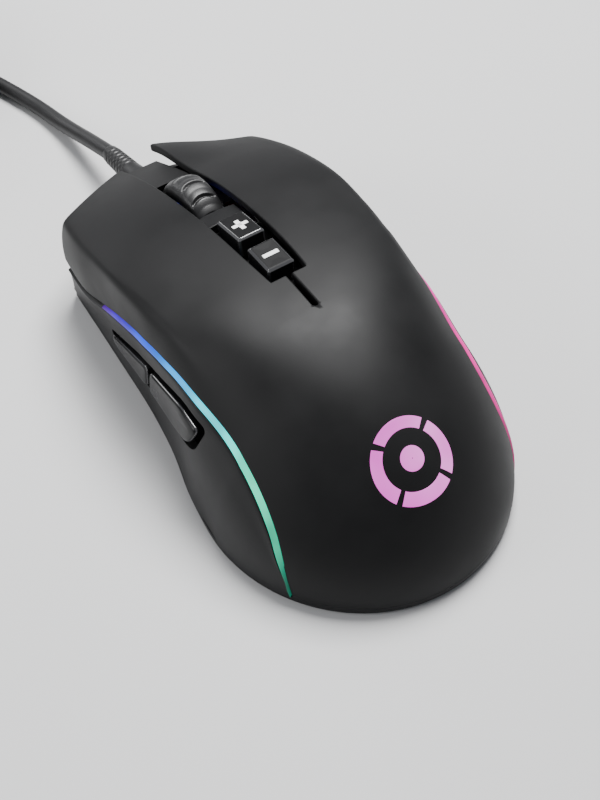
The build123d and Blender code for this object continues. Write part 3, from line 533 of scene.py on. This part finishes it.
# ---- camera --------------------------------------------------------------------------
def add_camera():
    data = bpy.data.cameras.new("camera")
    camera = bpy.data.objects.new("camera", data)
    bpy.context.scene.collection.objects.link(camera)
    azimuth = math.radians(-34.59)
    elevation = math.radians(52.58)
    back = Vector((math.sin(azimuth) * math.cos(elevation), -math.cos(azimuth) * math.cos(elevation),
                   math.sin(elevation)))
    target = Vector((0, -6.28, 4.25))
    camera.location = (target + back * 363.98) * MM
    upright = (-back).to_track_quat("-Z", "Y").to_matrix().to_4x4()
    roll = Matrix.Rotation(math.radians(1.34), 4, "Z")
    camera.rotation_mode = "QUATERNION"
    camera.rotation_quaternion = (upright @ roll).to_quaternion()
    data.sensor_fit = "VERTICAL"
    data.sensor_height = 36.0
    data.lens = 75.02
    data.shift_x = 0.0015
    data.shift_y = -0.0042
    bpy.context.scene.camera = camera


# ---- cable ---------------------------------------------------------------------------
def coil_points():
    """Wound layers: one spirals inward, the next outward on top of it."""
    points = []
    inner = COIL_OUTER - COIL_TURNS * CORD_PITCH
    steps = COIL_TURNS * COIL_POINTS
    for layer in range(COIL_LAYERS):
        first, last = (COIL_OUTER, inner) if layer % 2 == 0 else (inner, COIL_OUTER)
        for i in range(steps):
            share = i / steps
            climb = CORD_PITCH * ease((share - 0.93) / 0.07) if layer < COIL_LAYERS - 1 else 0
            angle = 2 * math.pi * i / COIL_POINTS
            radius = lerp(first, last, share)
            points.append((COIL_CENTRE[0] + radius * math.cos(angle),
                           COIL_CENTRE[1] + radius * math.sin(angle),
                           CORD_RADIUS + 0.1 + layer * CORD_PITCH + climb))
    top = CORD_RADIUS + 0.1 + (COIL_LAYERS - 1) * CORD_PITCH
    for i in range(COIL_POINTS // 2):
        angle = 2 * math.pi * i / COIL_POINTS
        points.append((COIL_CENTRE[0] + COIL_OUTER * math.cos(angle),
                       COIL_CENTRE[1] + COIL_OUTER * math.sin(angle), top))
    return points


def add_cord():
    route = CORD_ROUTE + [INTO_COIL] + coil_points() + [(-65.7, 134.0, 13.4)] + TAIL_ROUTE
    curve = bpy.data.curves.new("cord", "CURVE")
    curve.dimensions = "3D"
    spline = curve.splines.new("NURBS")
    spline.points.add(len(route) - 1)
    for point, place_at in zip(spline.points, route):
        point.co = (*(Vector(place_at) * MM), 1.0)
    spline.order_u = 3
    spline.use_endpoint_u = True
    spline.resolution_u = 8
    curve.bevel_depth = CORD_RADIUS * MM
    curve.bevel_resolution = 5
    curve.use_fill_caps = True
    cord = bpy.data.objects.new("cable", curve)
    bpy.context.scene.collection.objects.link(cord)
    curve.materials.append(CORD_RUBBER)
    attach(cord, "root")
    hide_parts("cord", "cord_coil", "cord_tail")
    return cord


def tube_of_rings(name, start, along, rings, material, around=40, right=Vector((1, 0, 0))):
    """A closed form round an axis from (distance, half width, half height, squareness) rings."""
    along = along.normalized()
    up = right.cross(along).normalized()
    points = []
    for distance, wide, high, square in rings:
        for i in range(around):
            angle = 2 * math.pi * i / around
            c, s = math.cos(angle), math.sin(angle)
            x = wide * math.copysign(abs(c) ** square, c)
            z = high * math.copysign(abs(s) ** square, s)
            points.append(start + along * distance + right * x + up * z)
    faces = grid_faces(len(rings), around, wrap=True)
    faces.append(tuple(reversed(range(around))))
    faces.append(tuple(range((len(rings) - 1) * around, len(rings) * around)))
    piece = new_piece(name, points, faces, material, "root")
    bpy.context.view_layer.update()
    return piece


def add_boot():
    """Slim strain relief with fine ribs, running smoothly into the cable."""
    start = Vector(BOOT_START)
    end = Vector(CORD_ROUTE[0])
    length = (end - start).length
    rings = [(0, 3.1, 2.9, 1), (4.0, 3.0, 2.8, 1), (5.6, 2.85, 2.7, 1), (6.6, 2.75, 2.65, 1)]
    for i in range(6):
        at = 7.6 + 1.5 * i
        full = 2.68 - 0.06 * i
        groove = full - 0.22
        rings += [(at - 0.5, full, full, 1), (at - 0.3, full - 0.04, full - 0.04, 1),
                  (at - 0.16, groove, groove, 1), (at + 0.16, groove, groove, 1),
                  (at + 0.3, full - 0.06, full - 0.06, 1), (at + 0.5, full - 0.03, full - 0.03, 1)]
    rings += [(length - 1.4, 2.22, 2.22, 1), (length - 0.3, 2.12, 2.12, 1), (length, 1.98, 1.98, 1)]
    boot = tube_of_rings("cable_boot", start, end - start, rings, CORD_RUBBER, 48)
    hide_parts("strain_relief")
    return boot


def add_plug_grip():
    """Moulded grip of the plug: a short cone, a waist and a rounded body with finger ribs."""
    start = Vector(TAIL_ROUTE[-1])
    rings = [(0, 2.25, 2.25, 1), (0.5, 2.4, 2.4, 1), (6.8, 3.2, 3.2, 1), (8.0, 3.9, 3.5, 0.9),
             (8.9, 6.6, 3.8, 0.6), (10.0, 7.5, 3.95, 0.45), (12.0, 7.75, 3.97, 0.42)]
    for i in range(4):
        at = 14.0 + 2.2 * i
        rings += [(at - 0.5, 7.75, 3.97, 0.42), (at - 0.3, 7.5, 3.72, 0.42), (at + 0.3, 7.5, 3.72, 0.42),
                  (at + 0.5, 7.75, 3.97, 0.42)]
    rings += [(24.0, 7.75, 3.97, 0.42), (26.6, 7.6, 3.9, 0.4), (27.2, 7.3, 3.7, 0.4), (27.45, 6.8, 3.2, 0.4)]
    grip = tube_of_rings("plug_grip", start, Vector((0, -1, 0)), rings, CORD_RUBBER, 56)
    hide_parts("plug_body")
    return grip


# ---- top cover -----------------------------------------------------------------------
def slot_inner_x(y):
    """Half width of the opening down the middle at y."""
    if y <= SLIT_END_Y:
        return 0.0
    centre = SLIT_END_Y + SLIT_HALF
    if y < centre:
        return math.sqrt(SLIT_HALF**2 - (y - centre) ** 2)
    return SLIT_HALF


def column_line(y):
    """Where the block beside the slit meets the rest of the cover."""
    return value_at(SLOT_HALF, y) * min(1.0, half_width(y) / 24)


def cover_rows():
    rear = [REAR_CENTRE_Y - REAR_RUN * math.sin(math.radians(a)) for a in (89.2, 87.5, 85, 82, 79)]
    rear += [REAR_CENTRE_Y - REAR_RUN * math.sin(math.radians(76 - 3.0 * i)) for i in range(26)]
    middle = [-26.0 + 1.25 * i for i in range(9)]
    middle += [-14.6, -13.2, SLIT_END_Y, SLIT_END_Y + 0.09, SLIT_END_Y + 0.3, SLIT_END_Y + SLIT_HALF]
    middle += [-10.5 + 1.2 * i for i in range(7)] + [-2.3, SLOT_REAR_Y]
    front = [SLOT_REAR_Y + 0.8 + 1.42 * i for i in range(44)] + [HALF_LENGTH - 0.7, HALF_LENGTH]
    return sorted(set(rear)) + [y for y in middle if y > rear[-1] + 0.3] + front


def cover_points(nominal, place_in_row):
    """One row of the right half; the row bends to follow the swept front edge."""
    lag = ease((nominal - 8) / (HALF_LENGTH - 10))
    y = nominal
    t = 0.0
    for _ in range(4 if lag > 0 else 1):
        t = place_in_row(y)
        x = section_point(y, t)[0]
        y = nominal - (HALF_LENGTH - front_edge(x)) * lag
    return skin(y, t)


def make_cover():
    """The whole top as one skin, cut afterwards into the palm and the two buttons."""
    inner_columns = 5
    upper = [0, 0.03, 0.07, 0.13, 0.2, 0.28, 0.37, 0.46, 0.55, 0.64, 0.73, 0.81, 0.88, 0.93, 0.965,
             0.985, 1.0]
    lower = [0.015, 0.04, 0.08, 0.15, 0.24, 0.34, 0.45, 0.56, 0.67, 0.78, 0.87, 0.94, 1.0]
    points = []
    faces = []

    def outer_place(kind, share):
        def place_at(y):
            corner = t_at_x(y, column_line(y))
            crease = max(0.6, corner)
            edge = max(t_at_z(y, cover_bottom(y)) if cover_bottom(y) > SHELL_BOTTOM else 1.0, corner + 0.02)
            crease = min(crease, lerp(corner, edge, 0.75))
            return lerp(corner, crease, share) if kind == "upper" else lerp(crease, edge, share)
        return place_at

    places = [outer_place("upper", s) for s in upper] + [outer_place("lower", s) for s in lower]
    rows = cover_rows()
    for side in (1, -1):
        start = len(points)
        for nominal in rows:
            for place_at in places:
                point = cover_points(nominal, place_at)
                extra = ease((point.y - 44) / 18) * ease((22 - point.x) / 20) if side > 0 else 0
                points.append((side * point.x, point.y + RIGHT_TIP_REACH * extra,
                               point.z + RIGHT_TIP_RISE * extra))
        for face in grid_faces(len(rows), len(places), start=start):
            faces.append(face if side < 0 else tuple(reversed(face)))
        inner_rows = [y for y in rows if y <= SLOT_REAR_Y + 0.001]
        start = len(points)
        for y in inner_rows:
            for k in range(inner_columns + 1):
                x = lerp(slot_inner_x(y), column_line(y), k / inner_columns)
                point = skin(y, t_at_x(y, x) if x > 0 else 0.0)
                points.append((side * x, point.y, point.z))
        for face in grid_faces(len(inner_rows), inner_columns + 1, start=start):
            faces.append(face if side < 0 else tuple(reversed(face)))
    return points, faces


def add_cover():
    points, faces = make_cover()
    whole = new_piece("cover_whole", points, faces, SOFT_TOUCH, None)
    merge(whole, 0.02)
    rim(whole, lambda c: c.y > -44 and (c.y > SLIT_END_Y + SLIT_HALF or abs(c.x) > 5))
    solidify(whole, WALL)
    bevel(whole, 0.4, 3)
    mesh = baked(whole)
    bpy.data.objects.remove(whole)
    palm = place("palm", part_of_mesh("palm", mesh, lambda c: c.y < BLEND_REAR_Y), SOFT_TOUCH, "root")
    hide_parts("palm_cover")
    for side, word in ((-1, "left"), (1, "right")):
        half = part_of_mesh(f"{word}_finger", mesh, lambda c: c.y >= BLEND_REAR_Y and c.x * side > 0)
        finger = place(f"{word}_finger", half, SOFT_TOUCH, None)
        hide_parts(f"{word}_button")
        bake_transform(finger)


def merge(piece, distance):
    """Joins points that lie on each other."""
    work = bmesh.new()
    work.from_mesh(piece.data)
    bmesh.ops.remove_doubles(work, verts=work.verts, dist=distance * MM)
    bmesh.ops.recalc_face_normals(work, faces=work.faces)
    work.to_mesh(piece.data)
    work.free()


# ---- sides ---------------------------------------------------------------------------
def add_strip(side, word, material):
    """Thin lit band between the cover and the side, its face turned a little upward."""
    rows = [STRIP_REAR_Y - 0.3 + (STRIP_FRONT_Y + 0.3 - STRIP_REAR_Y) * i / 110 for i in range(111)]
    across = [(0.0, -1.2), (0.0, 0.16), (0.1, 0.26), (0.35, 0.2), (0.65, 0.04), (0.9, -0.14), (1.0, -0.28),
              (1.0, -1.2)]
    points = []
    for y in rows:
        for share, lift in across:
            z = max(lerp(strip_bottom(y), strip_top(y) + 0.1, share), SHELL_BOTTOM)
            points.append(skin(y, t_at_z(y, z), side, lift))
    strip = new_piece(f"{word}_strip", points, grid_faces(len(rows), len(across)), material, "root")
    merge(strip, 0.001)
    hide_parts(f"{word}_light_strip")


def rounded_polygon(corners, radius, steps=6):
    """The outline with each corner rounded off."""
    outline = []
    count = len(corners)
    for i, corner in enumerate(corners):
        corner = Vector(corner)
        before = Vector(corners[i - 1]) - corner
        after = Vector(corners[(i + 1) % count]) - corner
        reach = min(radius, before.length * 0.45, after.length * 0.45)
        first = corner + before.normalized() * reach
        last = corner + after.normalized() * reach
        for k in range(steps + 1):
            share = k / steps
            outline.append(first.lerp(corner, share).lerp(corner.lerp(last, share), share))
    return outline


def panel_top(y):
    """Upper edge of the side: the strip, and in front of it the gap under the button."""
    if y < STRIP_FRONT_Y:
        return max(strip_bottom(y) - 0.05, SHELL_BOTTOM + 0.05)
    return strip_top(y) - 0.4


def add_side_panel(side, word):
    rows = [STRIP_REAR_Y + 0.1 + 0.5 * i for i in range(32)]
    rows += [-29.4 + 0.9 * i for i in range(65)] + [STRIP_FRONT_Y]
    rows += [STRIP_FRONT_Y + 0.05 + 1.45 * i for i in range(22)] + [STRIP_FRONT_Y + 32.3]
    levels = [0, 0.03, 0.08, 0.15, 0.23, 0.31, 0.39, 0.47, 0.55, 0.63, 0.71, 0.79, 0.86, 0.92, 0.965, 1.0]
    front = rows[-1]
    points = []
    for nominal in rows:
        lag = ease((nominal - 20) / (front - 20))
        for share in levels:
            y = nominal
            for _ in range(5):
                z = lerp(SHELL_BOTTOM, panel_top(y), share)
                t = t_at_z(y, z) if share > 0 else 1.0
                y = nominal - (front - front_edge(section_point(y, t)[0], 1.2)) * lag
            ledge = LEDGE * ease((share - 0.86) / 0.1) * ease((y - STRIP_REAR_Y) / 8)
            points.append(skin(y, t, side, ledge))
    faces = grid_faces(len(rows), len(levels))
    if side < 0:
        faces = [tuple(reversed(face)) for face in faces]
    panel = new_piece(f"{word}_panel", points, faces, SIDE_BLACK, None)
    merge(panel, 0.005)
    rim(panel, lambda c: c.z > SHELL_BOTTOM + 0.6 and c.y > -44)
    solidify(panel, WALL)
    bevel(panel, 0.28, 2)
    if side < 0:
        cut_window(panel)
    mesh = baked(panel)
    bpy.data.objects.remove(panel)
    mesh.set_sharp_from_angle(angle=math.radians(32))
    piece = place(f"{word}_side", mesh, SIDE_BLACK, "root")
    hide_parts(f"{word}_side_panel")


def cut_window(panel):
    """Opens the side behind the thumb buttons."""
    outline = rounded_polygon(THUMB_WINDOW, 2.0)
    points = [(x, y, z) for x in (-45, -15) for y, z in outline]
    count = len(outline)
    faces = grid_faces(2, count, wrap=True) + [tuple(reversed(range(count))), tuple(range(count, 2 * count))]
    cutter = new_piece("window_cutter", points, faces, SIDE_BLACK, None, smooth=False)
    merge(cutter, 0.001)
    cut = panel.modifiers.new("window", "BOOLEAN")
    cut.operation = "DIFFERENCE"
    cut.solver = "EXACT"
    cut.object = cutter
    mesh = baked(panel)
    panel.modifiers.clear()
    panel.data = mesh
    bpy.data.objects.remove(cutter)


def add_thumb_button(outline, name, node, body):
    """Glossy cap that follows the side's surface, with a chamfered rim painted lighter as a highlight."""
    edge = rounded_polygon(outline, 1.6)
    centre = sum(edge, Vector((0, 0))) / len(edge)
    half_y = (max(p.x for p in edge) - min(p.x for p in edge)) / 2
    half_z = (max(p.y for p in edge) - min(p.y for p in edge)) / 2
    levels = [(0.0, -2.2), (0.0, 0.25), (0.05, 0.42), (0.16, 0.55), (0.42, 0.78), (0.55, 0.84),
              (0.75, 0.88), (1.1, 0.93), (1.6, 0.97), (2.1, 1.0)]
    points = []
    for inset, lift in levels:
        for p in edge:
            y = centre.x + (p.x - centre.x) * (1 - inset / half_y)
            z = centre.y + (p.y - centre.y) * (1 - inset / half_z)
            points.append(skin(y, t_at_z(y, z), -1, lift))
    count = len(edge)
    faces = grid_faces(len(levels), count, wrap=True)
    top = (len(levels) - 1) * count
    middle = len(points)
    points.append(skin(centre.x, t_at_z(centre.x, centre.y), -1, 1.0))
    for i in range(count):
        faces.append((top + i, top + (i + 1) % count, middle))
    cap = new_piece(name, points, faces, GLOSS_BLACK, body)
    cap.data.materials.append(KEY_EDGE_PAINTED_HIGHLIGHT)
    # The chamfered rim faces take the lighter edge material: a painted highlight.
    for number, polygon in enumerate(cap.data.polygons):
        if count <= number < 3 * count:
            polygon.material_index = 1
    merge(cap, 0.001)
    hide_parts(node)


# ---- emblem --------------------------------------------------------------------------
def add_emblem():
    """A ring in four arcs round a dot, lit from behind and just proud of the palm."""
    slope = (top_line(EMBLEM_Y + 0.2) - top_line(EMBLEM_Y - 0.2)) / 0.4
    forward = Vector((0, 1, slope)).normalized()
    centre = Vector((0, EMBLEM_Y, top_line(EMBLEM_Y)))
    across = [(0.0, -0.5), (0.0, 0.0), (0.06, 0.08), (0.2, 0.1), (0.5, 0.1), (0.8, 0.1), (0.94, 0.08),
              (1.0, 0.0), (1.0, -0.5)]

    def on_palm(radius, angle, lift):
        flat = centre + Vector((1, 0, 0)) * (radius * math.cos(angle)) + forward * (radius * math.sin(angle))
        y = flat.y
        side = 1 if flat.x >= 0 else -1
        t = t_at_x(y, abs(flat.x))
        point = skin(y, t, side)
        normal = skin_normal(y, max(t, 0.01), side)
        return point + normal * lift

    points = []
    faces = []
    for quarter in range(4):
        gap = 0.075
        start = len(points)
        steps = 22
        for i in range(steps + 1):
            angle = math.pi / 2 * quarter + math.pi / 4 + lerp(gap, math.pi / 2 - gap, i / steps)
            for share, lift in across:
                points.append(on_palm(lerp(6.3, 8.9, share), angle, lift))
        faces += [tuple(reversed(f)) for f in grid_faces(steps + 1, len(across), start=start)]
    start = len(points)
    around = 36
    for radius, lift in ((2.6, -0.5), (2.6, 0.0), (2.5, 0.08), (2.2, 0.1), (1.2, 0.1), (0.1, 0.1)):
        for i in range(around):
            points.append(on_palm(radius, 2 * math.pi * i / around, lift))
    faces += grid_faces(6, around, wrap=True, start=start)
    lens = new_piece("emblem", points, faces, EMBLEM_LIGHT, "root")
    merge(lens, 0.001)
    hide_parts("emblem_lens")


# ---- keys ----------------------------------------------------------------------------
def key_frame_of(name, span):
    proud = KEY_PROUDS[name]
    rear_z = top_line(span[0]) + proud[0]
    front_z = top_line(span[1]) + proud[1]
    slope = (front_z - rear_z) / (span[1] - span[0])
    middle = Vector((0, (span[0] + span[1]) / 2, (rear_z + front_z) / 2))
    forward = Vector((0, 1, slope)).normalized()
    return middle, forward, Vector((1, 0, 0)).cross(forward), (span[1] - span[0]) / 2


def rounded_rectangle(half_x, half_y, radius, steps=5):
    outline = []
    for cx, cy, turn in ((1, 1, 0), (-1, 1, 90), (-1, -1, 180), (1, -1, 270)):
        for i in range(steps + 1):
            angle = math.radians(turn + 90 * i / steps)
            outline.append((cx * (half_x - radius) + radius * math.cos(angle),
                            cy * (half_y - radius) + radius * math.sin(angle)))
    return outline


def add_key(name, span, body):
    """Key cap with a slightly hollow top, its chamfer and side corners painted lighter as a highlight."""
    middle, forward, up, half_y = key_frame_of(name, span)
    levels = [(0.05, -4.4), (0.0, -0.62), (0.05, -0.5), (0.42, -0.1), (0.52, -0.04), (0.75, 0.0),
              (1.6, -0.03), (2.4, -0.06)]
    points = []
    for inset, height in levels:
        ring = rounded_rectangle(KEY_HALF_WIDTH - inset, half_y - inset, max(0.55 - inset * 0.3, 0.25))
        points += [middle + Vector((1, 0, 0)) * x + forward * y + up * height for x, y in ring]
    count = len(points) // len(levels)
    faces = grid_faces(len(levels), count, wrap=True)
    faces.append(tuple(range((len(levels) - 1) * count, len(levels) * count)))
    faces.append(tuple(reversed(range(count))))
    key = new_piece(f"{name}_cap", points, faces, KEY_BLACK, body, smooth=False)
    key.data.materials.append(KEY_EDGE_PAINTED_HIGHLIGHT)
    # The chamfer faces and the rounded side corners take the lighter edge material: a painted highlight.
    corner_steps = count // 4
    for number, polygon in enumerate(key.data.polygons):
        chamfer = 2 * count <= number < 4 * count
        corner = number < 2 * count and number % count % corner_steps < corner_steps - 1
        if chamfer or corner:
            polygon.material_index = 1
    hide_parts(f"{name}_key")
    bars = [(1.85, 0.52)] if name == "minus" else [(1.85, 0.52), (0.52, 1.85)]
    points = []
    faces = []
    for half_x, half_bar in bars:
        start = len(points)
        for inset, height in ((0.0, -0.1), (0.0, 0.02), (0.06, 0.05)):
            ring = rounded_rectangle(half_x - inset, half_bar - inset, 0.14, 3)
            points += [middle + Vector((1, 0, 0)) * x + forward * y + up * height for x, y in ring]
        ring_count = (len(points) - start) // 3
        faces += grid_faces(3, ring_count, wrap=True, start=start)
        faces.append(tuple(range(start + 2 * ring_count, start + 3 * ring_count)))
    mark = new_piece(f"{name}_sign", points, faces, MARK_WHITE, body, smooth=False)
    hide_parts(f"{name}_key_mark")


def slot_plate(name, rear_y, front_y, drop, material, node):
    """A plate across the slot, crowned like the surface above it."""
    steps = 14
    columns = 9
    points = []
    for i in range(steps + 1):
        y = lerp(rear_y, front_y, i / steps)
        half = value_at(SLOT_HALF, y) - 0.35
        for j in range(columns + 1):
            x = lerp(-half, half, j / columns)
            points.append((x, y, top_line(y) - drop - 0.02 * x * x))
    plate = new_piece(name, points, grid_faces(steps + 1, columns + 1), material, None)
    merge(plate, 0.001)
    rim(plate, lambda c: True)
    solidify(plate, 1.6)
    bevel(plate, 0.22, 2)
    mesh = baked(plate)
    bpy.data.objects.remove(plate)
    piece = place(name, part_of_mesh(name, mesh, lambda c: True), material, "root")
    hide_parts(node)


# ---- wheel ---------------------------------------------------------------------------
def add_wheel():
    """Crowned rubber tyre with curved slits that fade out before its sides."""
    steps = 26
    around = TYRE_GROOVES * steps
    half = WHEEL_HALF_WIDTH
    across = [i / 12 - 1 for i in range(25)]
    points = []
    for i in range(around):
        angle = 2 * math.pi * i / around
        for u in [-1.0] + across + [1.0]:
            crown = WHEEL_RADIUS - 1.1 * abs(u) ** 2.6 - 0.6 * max(0.0, abs(u) - 0.86) / 0.14
            phase = (i / steps + 0.42 * (1 - u * u)) % 1.0
            swell = 0.16 * math.sin(math.pi * phase) * ease((1 - abs(u)) / 0.3)
            slit = ease(1 - abs(phase - 0.5) / 0.13) * ease((0.84 - abs(u)) / 0.3)
            points.append((u * half, crown + swell - 0.16 - 0.75 * slit, angle))
    columns = len(across) + 2
    for i in range(around):
        for j in (0, columns - 1):
            x, _, angle = points[i * columns + j]
            points[i * columns + j] = (x, WHEEL_RADIUS - 3.0, angle)
    placed = [(x, WHEEL_Y + r * math.cos(a), WHEEL_Z + r * math.sin(a)) for x, r, a in points]
    faces = []
    for i in range(around):
        for j in range(columns - 1):
            a = i * columns + j
            b = ((i + 1) % around) * columns + j
            faces.append((a, a + 1, b + 1, b))
    tyre = new_piece("tyre", placed, faces, TYRE_RUBBER, "scroll_wheel")
    merge(tyre, 0.0001)
    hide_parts("wheel_tyre")


# ---- carried-over parts --------------------------------------------------------------
def paint(material, *nodes):
    for name in nodes:
        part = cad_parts[name]
        part.data.materials.clear()
        part.data.materials.append(material)


def paint_frame_parts():
    paint(SIDE_BLACK, "base_plate", "thumb_bezel")
    paint(SOFT_TOUCH, "nose_frame")
    paint(INNER_BLACK, "key_frame", "wheel_hub", "wheel_carrier", "wheel_encoder", "middle_switch",
          "plus_key_switch", "minus_key_switch", "sensor_chip", "key_board_legs", "plug_tongue")
    paint(BOARD_GREEN, "main_board", "side_board", "key_board")
    paint(SWITCH_WHITE, "left_switch", "right_switch", "forward_thumb_switch", "back_thumb_switch",
          "cable_connector")
    paint(PLUNGER_RED, "left_plunger", "right_plunger", "middle_plunger")
    paint(GLIDE_BLACK, "front_glide", "rear_glide", "sensor_glide")
    paint(CLEAR_GUIDE, "emblem_light_guide", "sensor_lens")
    paint(SCREW_STEEL, "board_screws", "cover_screws", "wheel_springs")
    paint(AXLE_STEEL, "wheel_axle")
    paint(GLOW_BLUE, "left_wheel_glow_ring", "right_wheel_glow_ring")
    paint(PLUG_METAL, "plug_shell")


# ---- stage ---------------------------------------------------------------------------
def add_floor():
    """Pale sweep of card with the faintest mottling."""
    material, nodes, links, shader = new_material("floor")
    where = nodes.new("ShaderNodeTexCoord").outputs["Object"]
    mottling = add_noise(nodes, links, where, 8, 3)
    colour = two_colours(nodes, links, mottling, (0.5, 0.5, 0.5), (0.54, 0.54, 0.54))
    links.new(colour, shader.inputs["Base Color"])
    shader.inputs["Roughness"].default_value = 0.7
    size = 4000
    mesh = bpy.data.meshes.new("floor")
    corners = ((-size, -size, 0), (size, -size, 0), (size, size, 0), (-size, size, 0))
    mesh.from_pydata([Vector(corner) * MM for corner in corners], [], [(0, 1, 2, 3)])
    floor = bpy.data.objects.new("floor", mesh)
    bpy.context.scene.collection.objects.link(floor)
    mesh.materials.append(material)


def add_light(name, location, aim, size, watts, colour=(1, 1, 1)):
    data = bpy.data.lights.new(name, "AREA")
    data.shape = "RECTANGLE"
    data.size = size[0] * MM
    data.size_y = size[1] * MM
    data.energy = watts
    data.color = colour
    light = bpy.data.objects.new(name, data)
    light.location = Vector(location) * MM
    light.rotation_mode = "QUATERNION"
    light.rotation_quaternion = (Vector(aim) - Vector(location)).to_track_quat("-Z", "Y")
    bpy.context.scene.collection.objects.link(light)


def add_lights():
    world = bpy.data.worlds.new("studio")
    world.use_nodes = True
    background = world.node_tree.nodes["Background"]
    background.inputs["Color"].default_value = (0.9, 0.93, 1.0, 1)
    background.inputs["Strength"].default_value = 0.36
    bpy.context.scene.world = world
    add_light("key", (200, 190, 640), (0, -5, 20), (320, 320), 13.0)
    add_light("fill", (-520, 120, 330), (0, 0, 20), (300, 300), 2.0)
    add_light("rim", (-160, 620, 260), (0, 20, 20), (420, 120), 0.9)


# ---- the scene -----------------------------------------------------------------------
add_camera()
cord = add_cord()
boot = add_boot()
plug = add_plug_grip()
add_cover()
add_strip(-1, "left", LEFT_LIGHT)
add_strip(1, "right", RIGHT_LIGHT)
add_side_panel(-1, "left")
add_side_panel(1, "right")
add_thumb_button(FRONT_THUMB, "forward_cap", "forward_thumb_button", "forward_thumb")
add_thumb_button(BACK_THUMB, "back_cap", "back_thumb_button", "back_thumb")
add_emblem()
add_key("plus", PLUS_KEY_Y, "plus_key")
add_key("minus", MINUS_KEY_Y, "minus_key")
slot_plate("bridge", BRIDGE_REAR_Y, BRIDGE_FRONT_Y, 2.0, SIDE_BLACK, "bridge_plate")
add_wheel()
paint_frame_parts()
add_floor()
add_lights()
